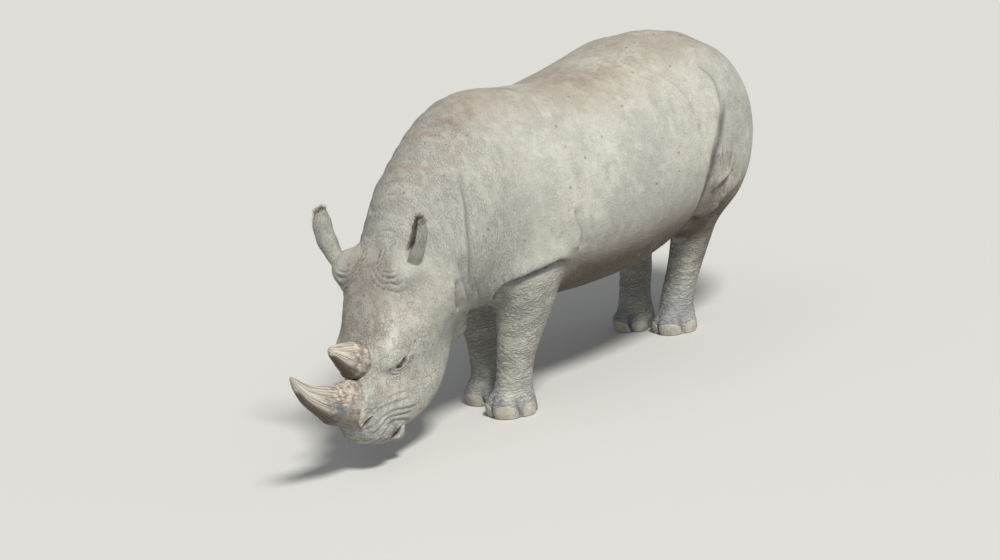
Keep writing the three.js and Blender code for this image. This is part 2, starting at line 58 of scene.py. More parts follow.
# Rows along the back: y, centre height, half width, rise, drop, squareness.
TRUNK_ROWS = [
    (-0.660, 0.700, 0.240, 0.200, 0.250, 2.0),
    (-0.530, 0.830, 0.295, 0.270, 0.310, 2.0),
    (-0.360, 0.970, 0.345, 0.375, 0.440, 2.0),
    (-0.150, 1.080, 0.390, 0.480, 0.560, 2.0),
    (0.080, 1.120, 0.435, 0.600, 0.575, 2.0),
    (0.350, 1.090, 0.490, 0.595, 0.560, 2.1),
    (0.650, 1.050, 0.545, 0.590, 0.565, 2.1),
    (0.950, 1.050, 0.580, 0.600, 0.580, 2.1),
    (1.250, 1.080, 0.585, 0.595, 0.570, 2.1),
    (1.520, 1.130, 0.500, 0.595, 0.520, 2.1),
    (1.720, 1.170, 0.400, 0.530, 0.420, 2.1),
    (1.880, 1.180, 0.300, 0.460, 0.330, 2.1),
]
RUMP = ((0.265, 1.700, 1.110), (0.245, 0.443, 0.484))
DEWLAP = ((0.035, -0.262, 0.590), (0.085, 0.080, 0.110))

# The head's own frame: a runs forward from the lips, b is towards the brow, c is its left.
HEAD_AT = np.array([0.015, -0.971, 0.076])
HEAD_DROP = 50.5  # degrees that the nose points below the level
HEAD_TURN = 7.0  # degrees towards the animal's left
HEAD_TILT = -2.0
# Rows by distance behind the lips: top line, middle line, jaw line, half width, squareness.
HEAD_ROWS = [
    (0.128, 0.240, 0.112, 0.008, 0.126, 2.6),
    (0.170, 0.286, 0.104, -0.045, 0.136, 2.6),
    (0.250, 0.320, 0.078, -0.120, 0.142, 2.6),
    (0.350, 0.348, 0.050, -0.200, 0.162, 2.7),
    (0.450, 0.365, 0.035, -0.258, 0.188, 2.8),
    (0.570, 0.395, 0.040, -0.270, 0.201, 2.8),
    (0.700, 0.430, 0.063, -0.245, 0.209, 2.7),
    (0.860, 0.460, 0.105, -0.185, 0.228, 2.6),
]
# Lumps on both sides of the skull: (c, distance behind the lips, b), radii, blend width.
HEAD_LUMPS = [
    ((0.078, 0.100, 0.118), (0.062, 0.070, 0.080), 0.060),  # upper lip
    ((0.058, 0.136, -0.030), (0.062, 0.055, 0.062), 0.030),  # lower lip
    ((0.020, 0.190, 0.255), (0.084, 0.120, 0.062), 0.050),  # boss under the front horn
    ((0.138, 0.470, 0.266), (0.056, 0.095, 0.050), 0.080),  # brow
    ((0.185, 0.890, 0.365), (0.090, 0.100, 0.085), 0.080),  # root of the ear
]

# Rows down a leg: x, y, z of the middle, half width, half lengths to the rear and the front, squareness.
FORE_ROWS = [
    (0.095, 0.060, 1.150, 0.130, 0.230, 0.230, 2.0),
    (0.105, 0.090, 0.950, 0.150, 0.260, 0.200, 2.0),
    (0.108, 0.095, 0.780, 0.155, 0.268, 0.176, 2.0),
    (0.095, 0.088, 0.620, 0.147, 0.222, 0.142, 2.0),
    (0.060, 0.064, 0.450, 0.122, 0.150, 0.112, 2.0),
    (0.026, 0.040, 0.300, 0.104, 0.110, 0.096, 2.0),
    (0.010, 0.022, 0.170, 0.099, 0.100, 0.092, 2.1),
    (0.000, 0.012, 0.080, 0.117, 0.113, 0.110, 2.2),
    (0.000, 0.008, 0.020, 0.122, 0.118, 0.112, 2.3),
]
HIND_ROWS = [
    (0.080, 0.260, 1.250, 0.170, 0.340, 0.300, 2.0),
    (0.100, 0.240, 1.050, 0.195, 0.370, 0.300, 2.0),
    (0.105, 0.200, 0.850, 0.195, 0.335, 0.262, 2.0),
    (0.097, 0.160, 0.690, 0.146, 0.222, 0.170, 2.0),
    (0.066, 0.146, 0.530, 0.112, 0.146, 0.100, 2.0),
    (0.028, 0.097, 0.350, 0.094, 0.110, 0.084, 2.0),
    (0.006, 0.036, 0.200, 0.090, 0.099, 0.086, 2.0),
    (0.000, 0.012, 0.080, 0.106, 0.104, 0.102, 2.2),
    (0.000, 0.008, 0.020, 0.110, 0.108, 0.105, 2.3),
]
# Each foot's toes: turn from straight ahead in degrees, distance out, half width, half length, half height.
TOES = [
    (0, 0.086, 0.090, 0.057, 0.074),
    (64, 0.088, 0.055, 0.058, 0.066),
    (-64, 0.088, 0.055, 0.058, 0.066),
]
TOE_HEIGHT = 0.052
FEET = {
    "front_left": {"x": 0.155, "y": -0.013, "turn": 20, "size": 1.0, "rows": FORE_ROWS, "side": 1},
    "front_right": {"x": -0.124, "y": 0.130, "turn": -10, "size": 1.0, "rows": FORE_ROWS, "side": -1},
    "hind_left": {"x": 0.137, "y": 1.472, "turn": 18, "size": 0.92, "rows": HIND_ROWS, "side": 1},
    "hind_right": {"x": -0.147, "y": 1.457, "turn": -12, "size": 0.92, "rows": HIND_ROWS, "side": -1},
}
# Rows up a horn: a and b of the middle, half length along the face, half width, lean in degrees.
HORN_FRONT = [
    (-0.185, 0.200, 0.154, 0.078, 24),
    (-0.172, 0.285, 0.150, 0.077, 20),
    (-0.138, 0.390, 0.136, 0.068, 14),
    (-0.103, 0.490, 0.094, 0.056, 8),
    (-0.084, 0.590, 0.066, 0.043, 0),
    (-0.080, 0.670, 0.050, 0.034, -8),
    (-0.092, 0.745, 0.032, 0.023, -16),
    (-0.108, 0.793, 0.012, 0.010, -20),
]
HORN_REAR = [
    (-0.396, 0.290, 0.098, 0.076, 10),
    (-0.384, 0.350, 0.102, 0.076, 8),
    (-0.377, 0.415, 0.084, 0.062, 4),
    (-0.367, 0.480, 0.058, 0.044, 0),
    (-0.359, 0.535, 0.034, 0.027, 0),
    (-0.357, 0.565, 0.012, 0.010, 0),
]
# Each ear's foot and tip, how far it bows along c, and the way that its hollow side faces, in a, b and c.
EARS = {
    "left": ((-0.890, 0.350, 0.205), (-1.088, 0.566, 0.352), 0.008, (0.28, 0.65, -0.68)),
    "right": ((-0.893, 0.385, -0.225), (-1.140, 0.560, -0.318), -0.030, (-0.25, -0.30, -0.80)),
}
EAR_WIDTH = {"foot": 0.028, "swell": 0.025, "taper": 0.062}
EAR_WALL = {"foot": 0.0125, "taper": 0.0065}
EAR_HALF = {"foot": 168, "blade": 112}  # degrees either way round from the back
EYE_AT = (-0.435, 0.198)
EYE_RADIUS = 0.024
TAIL_ROOT_Z = 1.400
# Rows down the tail: drop below its root, radius across, radius fore and aft.
TAIL_ROWS = [
    (-0.020, 0.052, 0.046),
    (0.060, 0.050, 0.042),
    (0.180, 0.038, 0.033),
    (0.340, 0.030, 0.026),
    (0.500, 0.026, 0.022),
    (0.600, 0.027, 0.018),
    (0.680, 0.018, 0.011),
]
# Folds of the hide: how their marks are seen, the marks, how many sides, width, depth, swell of the flap beside
# it and how far that spreads. A negative spread puts the flap on the other side of the line.
FOLDS = [
    # the shoulder's flap over the foreleg
    ("fore", [(-0.125, 0.640), (-0.140, 0.690), (-0.140, 0.735), (-0.116, 0.768), (-0.027, 0.792),
              (0.049, 0.802), (0.138, 0.806), (0.226, 0.800), (0.290, 0.776), (0.335, 0.725)],
     2, 0.017, 0.034, 0.022, -0.080),
    # slack folds of throat and chest
    ("flank", [(-0.300, 1.400), (-0.343, 1.255), (-0.370, 1.156), (-0.393, 1.055), (-0.403, 0.950),
               (-0.393, 0.837), (-0.292, 0.701)], 2, 0.022, 0.012, 0.014, 0.055),
    ("flank", [(-0.500, 0.900), (-0.495, 0.865), (-0.485, 0.781), (-0.446, 0.684)],
     2, 0.016, 0.017, 0.013, 0.040),
    ("flank", [(-0.470, 1.020), (-0.462, 0.930), (-0.425, 0.819), (-0.362, 0.714), (-0.330, 0.680)],
     2, 0.015, 0.015, 0.010, 0.036),
    ("flank", [(-0.350, 0.850), (-0.330, 0.800), (-0.280, 0.745), (-0.226, 0.697)],
     2, 0.012, 0.004, 0.004, 0.030),
    ("flank", [(-0.262, 0.980), (-0.250, 0.900), (-0.230, 0.819), (-0.176, 0.729), (-0.115, 0.650)],
     2, 0.014, 0.005, 0.006, 0.040),
    # creases across the nape
    ("nape", [(-0.230, -0.470), (-0.162, -0.546), (-0.077, -0.575), (-0.005, -0.584), (0.051, -0.585),
              (0.110, -0.565)], 1, 0.013, 0.007, 0.004, 0.030),
    ("nape", [(-0.190, -0.600), (-0.132, -0.634), (-0.047, -0.644), (0.022, -0.640), (0.099, -0.636)],
     1, 0.010, 0.004, 0.003, 0.025),
    # behind the elbow
    ("flank", [(0.325, 1.060), (0.338, 0.978), (0.359, 0.910), (0.358, 0.850), (0.350, 0.810)],
     2, 0.014, 0.019, 0.012, 0.050),
    ("flank", [(0.410, 1.030), (0.425, 0.965), (0.456, 0.866), (0.493, 0.776), (0.500, 0.690)],
     2, 0.018, 0.005, 0.006, 0.050),
    # the flank's flap over the thigh
    ("hind", [(1.600, 1.520), (1.655, 1.440), (1.668, 1.362), (1.640, 1.270), (1.610, 1.220)],
     2, 0.018, 0.006, 0.006, 0.060),
    ("thigh", [(1.665, 1.350), (1.640, 1.270), (1.610, 1.220), (1.555, 1.152), (1.481, 1.057), (1.410, 0.930),
              (1.361, 0.837), (1.322, 0.748), (1.290, 0.680), (1.275, 0.648)],
     2, 0.030, 0.022, 0.014, 0.070),
    ("hind", [(1.500, 0.815), (1.538, 0.832), (1.595, 0.851), (1.662, 0.873), (1.700, 0.900)],
     2, 0.014, 0.026, 0.012, -0.040),
    ("hind", [(1.600, 0.722), (1.645, 0.742), (1.696, 0.763), (1.768, 0.784), (1.840, 0.830)],
     2, 0.014, 0.026, 0.014, -0.045),
    ("hind", [(1.380, 0.705), (1.466, 0.680), (1.548, 0.668), (1.612, 0.697), (1.660, 0.735)],
     2, 0.015, 0.026, 0.014, -0.050),
    # two thin creases on the haunch
    ("pleat", [(1.160, 1.560), (1.216, 1.530), (1.269, 1.473), (1.312, 1.396), (1.323, 1.293)],
     2, 0.0110, 0.0070, 0.004, 0.026),
    ("pleat", [(1.290, 1.545), (1.335, 1.501), (1.374, 1.436), (1.403, 1.362), (1.398, 1.273)],
     2, 0.0110, 0.0080, 0.004, 0.026),
    # sweeps of the muzzle, from the nostril and the lip back to the jaw
    ("face", [(-0.126, 0.231), (-0.166, 0.213), (-0.205, 0.185), (-0.265, 0.101), (-0.320, 0.014)],
     2, 0.0090, 0.0040, 0.003, -0.018),
    ("face", [(-0.052, 0.215), (-0.093, 0.203), (-0.161, 0.169), (-0.218, 0.092), (-0.271, -0.004),
              (-0.318, -0.068)], 2, 0.0095, 0.0065, 0.004, -0.020),
    ("face", [(-0.030, 0.183), (-0.060, 0.180), (-0.094, 0.173), (-0.156, 0.141), (-0.207, 0.049),
              (-0.267, -0.051)], 2, 0.0090, 0.0075, 0.005, -0.018),
    ("face", [(-0.026, 0.130), (-0.068, 0.140), (-0.133, 0.112), (-0.185, 0.032), (-0.234, -0.086)],
     2, 0.0090, 0.0065, 0.004, -0.018),
    ("face", [(-0.060, 0.165), (-0.110, 0.150), (-0.150, 0.110), (-0.188, 0.060)],
     2, 0.0080, 0.0050, 0.003, -0.014),
    ("face", [(-0.100, 0.250), (-0.160, 0.240), (-0.230, 0.200), (-0.290, 0.130), (-0.350, 0.060)],
     2, 0.0085, 0.0028, 0.002, -0.016),
    # forehead and cheek
    ("face", [(-0.442, 0.312), (-0.452, 0.304), (-0.464, 0.289), (-0.482, 0.258), (-0.486, 0.224)],
     2, 0.0060, 0.0045, 0.002, 0.014),
    ("brow", [(-0.930, 0.075), (-0.950, 0.095), (-0.985, 0.120), (-1.007, 0.143)],
     2, 0.009, 0.006, 0.004, 0.020),
]
# How much painted shade each kind of fold gets, and how many widths behind its line it is darkest.
FOLD_SHADE = {
    "flank": 0.50,
    "pleat": 0.42,
    "fore": 1.0,
    "hind": 0.95,
    "thigh": 1.0,
    "nape": 0.45,
    "face": 0.75,
    "brow": 0.60,
}
FOLD_BACK = {"thigh": 1.9}
USUAL_BACK = 0.7
FAR_SHADE = 0.65  # the right side's folds get this share of the left's painted shade
# How much further back the right side's folds lie, as its legs stand.
FAR_SHIFT = {"flank": 0.0, "fore": 0.151, "pleat": -0.015, "hind": -0.015, "thigh": -0.015}
# Clefts between the toes: degrees from straight ahead; then width, depth, swell, spread, side, shade, back.
CLEFT_TURNS = (-37, 37)
CLEFT = (0.0165, 0.019, 0.003, 0.030, 1, 0.55, USUAL_BACK)
# A crease of the ankle; its swell is a share of its depth.
CREASE = {"width": 0.0075, "swell": 0.3, "spread": 0.016, "shade": 0.8}
# Creases round the front of the ankles: height, degrees either way from the front, depth.
ANKLE_CREASES = {
    "front": [(0.190, 95, 0.0030), (0.222, 110, 0.0042), (0.256, 90, 0.0038), (0.292, 100, 0.0036),
              (0.335, 80, 0.0030)],
    "hind": [(0.215, 90, 0.0032), (0.262, 100, 0.0044), (0.300, 95, 0.0040), (0.345, 90, 0.0036)],
}
LIP_ROLL = {"out": 0.020, "wide": 0.010, "high": 0.0045}
LIP_CREASES = {"pitch": 0.021, "high": 0.0016}
# Where the lips meet: b in front, its fall and sag behind, a of the corner, and the slit's depth and height.
MOUTH = {
    "front_b": 0.040,
    "drop": 0.050,
    "sag": 0.015,
    "corner": -0.172,
    "depth": 0.030,
    "half": 0.0050,
    "open": 0.0085,
}
# A nostril: a and b of its middle, half length, half height, depth, rim, tilt in degrees and how it bends.
NOSTRIL = {
    "at": (-0.098, 0.226),
    "long": 0.038,
    "high": 0.0095,
    "depth": 0.020,
    "rim": 0.004,
    "turn": 6.0,
    "bend": 6.0,
}
# The slit of an eye: half its length, half its height, lid's thickness, tilt in degrees from the head's a.
EYE_SLIT = {"long": 0.040, "high": 0.0200, "lid": 0.0040, "tilt": 12.0}
EYE_SUNK = 0.0155
LID_EDGE = {"out": 0.0035, "wide": 0.003, "high": 0.0016}
# The roll of the brow and the crease over the lid: height above the eye, width, how far out or in.
EYE_BROW = {"up": 0.026, "wide": 0.009, "high": 0.0060}
LID_CREASE = {"up": 0.034, "wide": 0.0035, "deep": 0.0040, "bend": 9.0}
CORNER_LINE = {"slope": 0.18, "wide": 0.0032, "deep": 0.0045}
# Slack rings below the eye: where the first one lies, pitch, height.
EYE_BAGS = {"first": 0.018, "pitch": 0.0135, "high": 0.0036}
# Rings of slack skin round each temple: a and c of their middle, pitch and height.
TEMPLE = {"a": -0.930, "c": 0.150, "pitch": 0.0225, "high": 0.0042}
# Collars round the horns: distance from the horn, height and width of each roll; then of each groove's painted
# shade.
COLLAR_ROLLS = [(0.012, 0.0100, 0.008), (0.036, 0.0040, 0.007)]
COLLAR_GROOVES = [(0.000, 0.90, 0.0045), (0.025, 0.40, 0.0035)]
TAIL_SEAT = np.array([0.0, 2.10 + FEET_LINE, TAIL_ROOT_Z - 0.03])
# Colours of hide, horn, nail (linear red, green, blue).
HIDE_PALE = (0.455, 0.446, 0.394)
HIDE_GREY = (0.365, 0.358, 0.322)
HIDE_DUST = (0.560, 0.552, 0.490)
HIDE_DARK = (0.265, 0.258, 0.232)
HIDE_TAN = (0.318, 0.276, 0.232)
HIDE_STAIN = (0.200, 0.160, 0.125)
HIDE_BLUE = (0.210, 0.225, 0.255)
HIDE_MUD = (0.120, 0.092, 0.070)
# HIDE_DEEP is the dark of cracks, chips and the nail's lower edge, and the painted shade of folds, creases and
# slits
HIDE_DEEP = (0.050, 0.044, 0.039)
HORN_PALE = (0.560, 0.520, 0.450)
HORN_DARK = (0.215, 0.185, 0.152)
HORN_BROWN = (0.075, 0.052, 0.039)
HORN_BLUE = (0.130, 0.140, 0.160)
HORN_RUST = (0.270, 0.160, 0.100)
HORN_ROOT = (0.240, 0.215, 0.180)
NAIL_PALE = (0.500, 0.465, 0.395)
NAIL_DARK = (0.360, 0.330, 0.275)
IRIS_DARK = (0.012, 0.007, 0.004)
IRIS_BROWN = (0.050, 0.026, 0.013)
PUPIL_BLACK = (0.003, 0.003, 0.003)
EYE_RIM = (0.022, 0.015, 0.012)
HAIR_ROOT = (0.070, 0.056, 0.045)
HAIR_TIP = (0.220, 0.185, 0.150)
HAIR_PALE = (0.300, 0.260, 0.210)
HAIR_DARK = (0.030, 0.024, 0.020)
FLOOR_PALE = (0.500, 0.495, 0.480)
# What the skin writes down at its points for its material.
SKIN_MARKS = ("painted_shade", "leg", "neck", "foot", "muzzle", "crown", "belly", "ear", "hollow", "face", "haunch")
# A toenail: width as a share of the toe's, height, fall of its sides, fan in degrees, height of its lower edge,
# thickness, how much thicker its lower edge is, and how far it goes into the toe.
NAIL = {
    "wide": 0.70,
    "tall": 0.068,
    "arch": 0.55,
    "fan": 24.0,
    "low": 0.006,
    "thick": 0.0085,
    "edge": 0.0022,
    "sunk": 0.007,
}
# Hair: how many tufts, their lengths and their radii; a fringe's lengths are those at its start and its end.
FRINGE = {"count": 300, "on_rim": 130, "long": (0.010, 0.030), "thick": (0.0006, 0.0011)}
TAIL_HAIR = {"count": 420, "long": (0.045, 0.105), "thick": (0.0008, 0.0015)}
LASHES = {"count": 44, "long": (0.010, 0.017), "thick": (0.0005, 0.0008), "from": -0.026, "to": 0.028}
ROOT_DEPTH = {"fringe": 0.003, "tail": 0.004, "lashes": 0.003}  # how far a tuft's root is sunk
PATCH_HALF = 0.0014  # half the side of a tuft's patch on the unwrap
HORN_GRAIN = 0.0016  # height of a horn's fibres and growth rings
HORN_SKIRT = 0.010
HORN_HIDDEN = {"horn_front": 0.20, "horn_rear": 0.16}  # share of each horn's rows that the skin hides
CAMERA = {"azimuth": 42.2, "elevation": 15.0, "roll": 8.37, "distance": 18.0, "lens": 120.1}
CAMERA_AIM = (0.0, FEET_LINE + 0.200, 0.665)
# Each lamp's place, power and colour; the air's colour and strength.
KEY = ((5.5, -2.2, 8.6), 4.2, (1.0, 0.985, 0.93))
FILL = ((5.5, -6.5, 3.2), 60, (0.93, 0.96, 1.0))
AIR = ((0.93, 0.96, 1.0, 1.0), 0.42)
LAMPS_AIM = (0.0, 0.0, 0.8)


# ------------------------------------------------------------------ small helpers
def unit(v):
    """Vectors of length one."""
    return v / np.maximum(np.linalg.norm(v, axis=-1, keepdims=True), 1e-12)


def mix(a, b, t):
    """a at t = 0, b at t = 1."""
    return a + (b - a) * t


def rise(low, high, value):
    """A smooth step: 0 below low, 1 above high, with level ends."""
    t = np.clip((value - low) / (high - low), 0, 1)
    return t * t * (3 - 2 * t)


def full_turn(count):
    """count angles, evenly once round."""
    return np.linspace(0, 2 * np.pi, count, endpoint=False)


def bell(x, width):
    """1 at x = 0, falling away on both sides over the width."""
    return np.exp(-((x / width) ** 2))


def smooth_rows(rows, t):
    """Rows of numbers read at row numbers t, along a smooth curve through them (Catmull-Rom)."""
    rows = np.asarray(rows, float)
    i = np.minimum(np.floor(t).astype(int), len(rows) - 2)
    u = (t - i)[:, None]
    p, q, r, s = (rows[np.clip(i + k, 0, len(rows) - 1)] for k in (-1, 0, 1, 2))
    m0, m1, d = (r - p) / 2, (s - q) / 2, r - q
    return q + u * (m0 + u * (3 * d - 2 * m0 - m1 + u * (m0 + m1 - 2 * d)))


def even_rows(rows, count):
    """count rows read evenly along the smooth curve through the given ones."""
    return smooth_rows(rows, np.linspace(0, len(rows) - 1, count))


def rotation(axis, degrees):
    """3 x 3 rotation about x, y or z by the right-hand rule."""
    c, s = np.cos(np.radians(degrees)), np.sin(np.radians(degrees))
    i, j = {"x": (1, 2), "y": (2, 0), "z": (0, 1)}[axis]
    m = np.eye(3)
    m[i, i], m[j, j], m[i, j], m[j, i] = c, c, -s, s
    return m


HEAD_TURNED = rotation("z", HEAD_TURN) @ rotation("x", HEAD_DROP) @ rotation("y", HEAD_TILT)
# Columns a, b, c of the head's frame, in the model's frame.
HEAD_AXES = np.stack([-HEAD_TURNED[:, 1], HEAD_TURNED[:, 2], HEAD_TURNED[:, 0]], axis=1)


def from_head(abc):
    """Points given by a, b and c, in the model's frame."""
    return np.asarray(abc, float) @ HEAD_AXES.T + HEAD_AT + START


def to_head(p):
    """a, b and c of points in the model's frame."""
    return (p - HEAD_AT - START) @ HEAD_AXES


def lattice_noise(p, scale, seed=0):
    """Smooth noise between -1 and 1: random values on a cubic lattice of the given pitch, eased between."""
    q = p / scale + 100.5 + seed * 7.31
    cell = np.floor(q).astype(np.int64)
    t = q - cell
    t = t * t * (3 - 2 * t)
    total = np.zeros(len(p))
    for corner in np.ndindex(2, 2, 2):
        c = cell + corner
        mixed = (c[:, 0] * 73856093) ^ (c[:, 1] * 19349663) ^ (c[:, 2] * 83492791) ^ (seed * 2654435761)
        mixed = (mixed ^ (mixed >> 13)) * 1274126177 & 0xFFFFFFFF
        value = ((mixed ^ (mixed >> 16)) & 0xFFFF) / 32767.5 - 1
        share = np.prod(np.where(np.array(corner) == 1, t, 1 - t), axis=1)
        total += value * share
    return total


# ------------------------------------------------------------------ the flesh as a distance function
def blend(a, b, k):
    """The smaller of two distances, rounded off over the width k where they meet."""
    h = np.maximum(k - np.abs(a - b), 0) / k
    return np.minimum(a, b) - h * h * k / 4


def sweep(stations, steps=4):
    """Distance to a section carried along a smooth path of stations.

    A station is x, y, z, half width, height on the plus side, height on the minus side, squareness. The
    section at the nearest point of the path is |x/w|^n + |y/h|^n = 1, and the distance is measured along
    the line from the path through the point.
    """
    rows = even_rows(stations, (len(stations) - 1) * steps + 1)
    at, size = rows[:, :3], rows[:, 3:]
    around = np.arange(len(rows))
    along = unit(at[np.minimum(around + 1, len(rows) - 1)] - at[np.maximum(around - 1, 0)])
    side = unit(np.array([1.0, 0, 0]) - along * along[:, :1])
    plus = np.cross(side, along)
    table = np.concatenate([at, along, side, plus, size], axis=1)

    def distance(p):
        best = np.full(len(p), np.inf)
        place = np.zeros(len(p))
        for i in range(len(rows) - 1):
            step = at[i + 1] - at[i]
            t = np.clip((p - at[i]) @ step / (step @ step), 0, 1)
            away = p - at[i] - t[:, None] * step
            d = np.einsum("ij,ij->i", away, away)
            nearer = d < best
            best[nearer] = d[nearer]
            place[nearer] = i + t[nearer]
        i = np.minimum(place.astype(int), len(rows) - 2)
        here = mix(table[i], table[i + 1], (place - i)[:, None])
        away = p - here[:, :3]
        beyond, across, height = (np.einsum("ij,ij->i", away, here[:, k : k + 3]) for k in (3, 6, 9))
        width, up, down, square = here[:, 12:].T
        tall = np.where(height > 0, up, down)
        ring = (np.abs(across / width) ** square + np.abs(height / tall) ** square) ** (1 / square)
        reach = np.maximum(np.hypot(ring, beyond / np.minimum(width, tall)), 1e-6)
        return np.sqrt(across**2 + height**2 + beyond**2) * (1 - 1 / reach)

    return distance


def egg(at, radii):
    """Distance to an ellipsoid, measured along the line from its middle."""

    def distance(p):
        away = p - np.array(at)
        reach = np.maximum(np.linalg.norm(away / np.array(radii), axis=1), 1e-6)
        return np.linalg.norm(away, axis=1) * (1 - 1 / reach)

    return distance


def both_sides(p):
    """The points, all brought to the +x side."""
    return np.concatenate([np.abs(p[:, :1]), p[:, 1:]], axis=1)


SPINE = sweep([(0, *row) for row in TRUNK_ROWS])
# The head's stations lie in its own frame, where y runs back from the lips and z to the brow.
SKULL = sweep([(0, y, mid, wide, top - mid, mid - jaw, square) for y, top, mid, jaw, wide, square in HEAD_ROWS])
LUMPS = [(egg(at, radii), width) for at, radii, width in HEAD_LUMPS]


def trunk(p):
    """Spine, rump and dewlap."""
    mirrored = both_sides(p)
    d = blend(SPINE(p), egg(*RUMP)(mirrored), RUMP_BLEND)
    return blend(d, egg(*DEWLAP)(mirrored), DEWLAP_BLEND)


def head(p):
    """Skull with its lumps, for points counted from the feet's line."""
    a, b, c = ((p - HEAD_AT) @ HEAD_AXES).T
    q = np.stack([c, -a, b], axis=1)
    d = SKULL(q)
    for lump, width in LUMPS:
        d = blend(d, lump(both_sides(q)), width)
    return d


def limb(foot):
    """A leg's column with its toes."""
    x, y, side, size = foot["x"], foot["y"], foot["side"], foot["size"]
    column = sweep([(x + dx * side, y + dy, z, *sizes) for dx, dy, z, *sizes in foot["rows"]])
    toes = []
    for angle, out, wide, long, tall in TOES:
        turn = rotation("z", foot["turn"] + angle)
        middle = np.array([x, y, TOE_HEIGHT * size]) + turn @ np.array([0, -out * size, 0])
        toes.append((egg((0, 0, 0), np.array([wide, long, tall]) * size), turn, middle))

    def distance(p):
        d = column(p)
        for lobe, turn, middle in toes:
            d = blend(d, lobe((p - middle) @ turn), TOE_BLEND)
        return d

    return distance


LIMBS = {name: limb(foot) for name, foot in FEET.items()}


def flesh(p):
    """The whole animal without ears, horns and tail. Legs and head are only worked out where they are near."""
    q = p - START
    d = trunk(q)
    near = q[:, 1] < -0.05
    d[near] = blend(d[near], head(q[near]), BODY_BLEND)
    for name, foot in FEET.items():
        ahead, behind = (0.55, 0.60) if name.startswith("front") else (0.50, 0.95)
        near = (q[:, 2] < 1.55) & (q[:, 0] * foot["side"] > -0.15)
        near &= (q[:, 1] > foot["y"] - ahead) & (q[:, 1] < foot["y"] + behind)
        d[near] = blend(d[near], LIMBS[name](q[near]), BODY_BLEND)
    return d


def slope(f, p, reach=0.001):
    """f and its gradient at points, by small steps."""
    d = f(p)
    g = np.stack([f(p + reach * np.eye(3)[k]) - d for k in range(3)], axis=1) / reach
    return d, g


def settle(f, p, rounds=3):
    """Points slid down or up the slope of f until f is zero."""
    for _ in range(rounds):
        d, g = slope(f, p)
        p = p - g * (np.clip(d, -0.01, 0.01) / np.maximum((g * g).sum(1), 0.25))[:, None]
    return p


def landing(f, p, way, rounds=60):
    """Where lines from points, going one way, first meet the surface of f."""
    p = np.array(p, float)
    for _ in range(rounds):
        p = p + way * np.clip(f(p) * 0.7, 0, 0.2)[:, None]
    return p


# ------------------------------------------------------------------ meshes from whole arrays
def sampled(f, low, counts, step):
    """f on a regular grid of counts + 1 marks along x, y and z.

    Every fourth mark comes first; each finer grid takes the middles between them, and works f out again only
    within a few steps of the surface.
    """
    value = None
    for skip in (4, 2, 1):
        marks = [low[k] + step * skip * np.arange(counts[k] // skip + 1) for k in range(3)]
        if value is None:
            near = np.ones([len(m) for m in marks], bool)
            value = np.zeros(near.shape)
        else:
            for axis in range(3):
                v = np.moveaxis(value, axis, 0)
                finer = np.empty((2 * len(v) - 1, *v.shape[1:]))
                finer[::2] = v
                finer[1::2] = (v[1:] + v[:-1]) / 2
                value = np.moveaxis(finer, 0, axis)
            near = np.abs(value) < 4.8 * skip * step
        i = np.argwhere(near)
        value = np.ascontiguousarray(value)
        value[near] = f(np.stack([marks[k][i[:, k]] for k in range(3)], axis=1))
    return value


def surface_net(value, low, step):
    """Points and quads of the surface where a grid of values crosses zero.

    Each mixed cell gets one point, the mean of the crossings on its edges. Each grid edge whose ends differ in
    sign joins the four cells round it with one quad, wound so that it faces the positive side.
    """
    inside = value < 0
    corners = np.array(list(np.ndindex(2, 2, 2)))
    size = np.array(value.shape) - 1
    views = [tuple(slice(c, c + n) for c, n in zip(corner, size)) for corner in corners]
    total = sum(inside[v].astype(np.int8) for v in views)
    mixed = (total > 0) & (total < 8)
    cells = np.argwhere(mixed)
    number = np.full(mixed.shape, -1)
    number[mixed] = np.arange(len(cells))
    v8 = np.stack([value[v][mixed] for v in views], axis=1)
    points = np.zeros((len(cells), 3))
    hits = np.zeros((len(cells), 1))
    for i, start in enumerate(corners):
        for j, end in enumerate(corners):
            if (end - start).sum() != 1 or (end < start).any():
                continue
            crossed = ((v8[:, i] < 0) != (v8[:, j] < 0))[:, None]
            t = (v8[:, i] / np.where(v8[:, i] == v8[:, j], 1, v8[:, i] - v8[:, j]))[:, None]
            points += crossed * (start + (end - start) * t)
            hits += crossed
    points = low + step * (cells + points / hits)
    quads = []
    for axis in range(3):
        b, c = (axis + 1) % 3, (axis + 2) % 3
        head_of, tail_of = [slice(None)] * 3, [slice(None)] * 3
        head_of[axis], tail_of[axis] = slice(1, None), slice(None, -1)
        starts, ends = inside[tuple(tail_of)], inside[tuple(head_of)]
        i = np.argwhere(starts != ends)
        outwards = starts[tuple(i.T)]
        keep = (i[:, b] > 0) & (i[:, c] > 0)
        i, outwards = i[keep], outwards[keep]
        ring = []
        for u, v in ((0, 0), (-1, 0), (-1, -1), (0, -1)):
            k = i.copy()
            k[:, b] += u
            k[:, c] += v
            ring.append(number[tuple(k.T)])
        ring = np.stack(ring, axis=1)
        ring[~outwards] = ring[~outwards][:, ::-1]
        quads.append(ring)
    return points, np.concatenate(quads)


def new_piece(name, points, faces, material=None):
    """A mesh object of these points and faces that rides with the model."""
    mesh = bpy.data.meshes.new(name)
    mesh.from_pydata(points.tolist(), [], [list(map(int, f)) for f in faces])
    mesh.validate()
    mesh.polygons.foreach_set("use_smooth", np.ones(len(mesh.polygons), bool))
    piece = bpy.data.objects.new(name, mesh)
    bpy.context.scene.collection.objects.link(piece)
    if material:
        mesh.materials.append(material)
    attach(piece, "root")
    return piece


def grid_faces(rows, columns, closed=True):
    """Quads of a grid of points stored row by row; closed joins the last column to the first."""
    i, j = np.meshgrid(np.arange(rows - 1), np.arange(columns if closed else columns - 1), indexing="ij")
    i, j = i.ravel(), j.ravel()
    k = (j + 1) % columns
    return np.stack([i * columns + j, i * columns + k, (i + 1) * columns + k, (i + 1) * columns + j], axis=1)


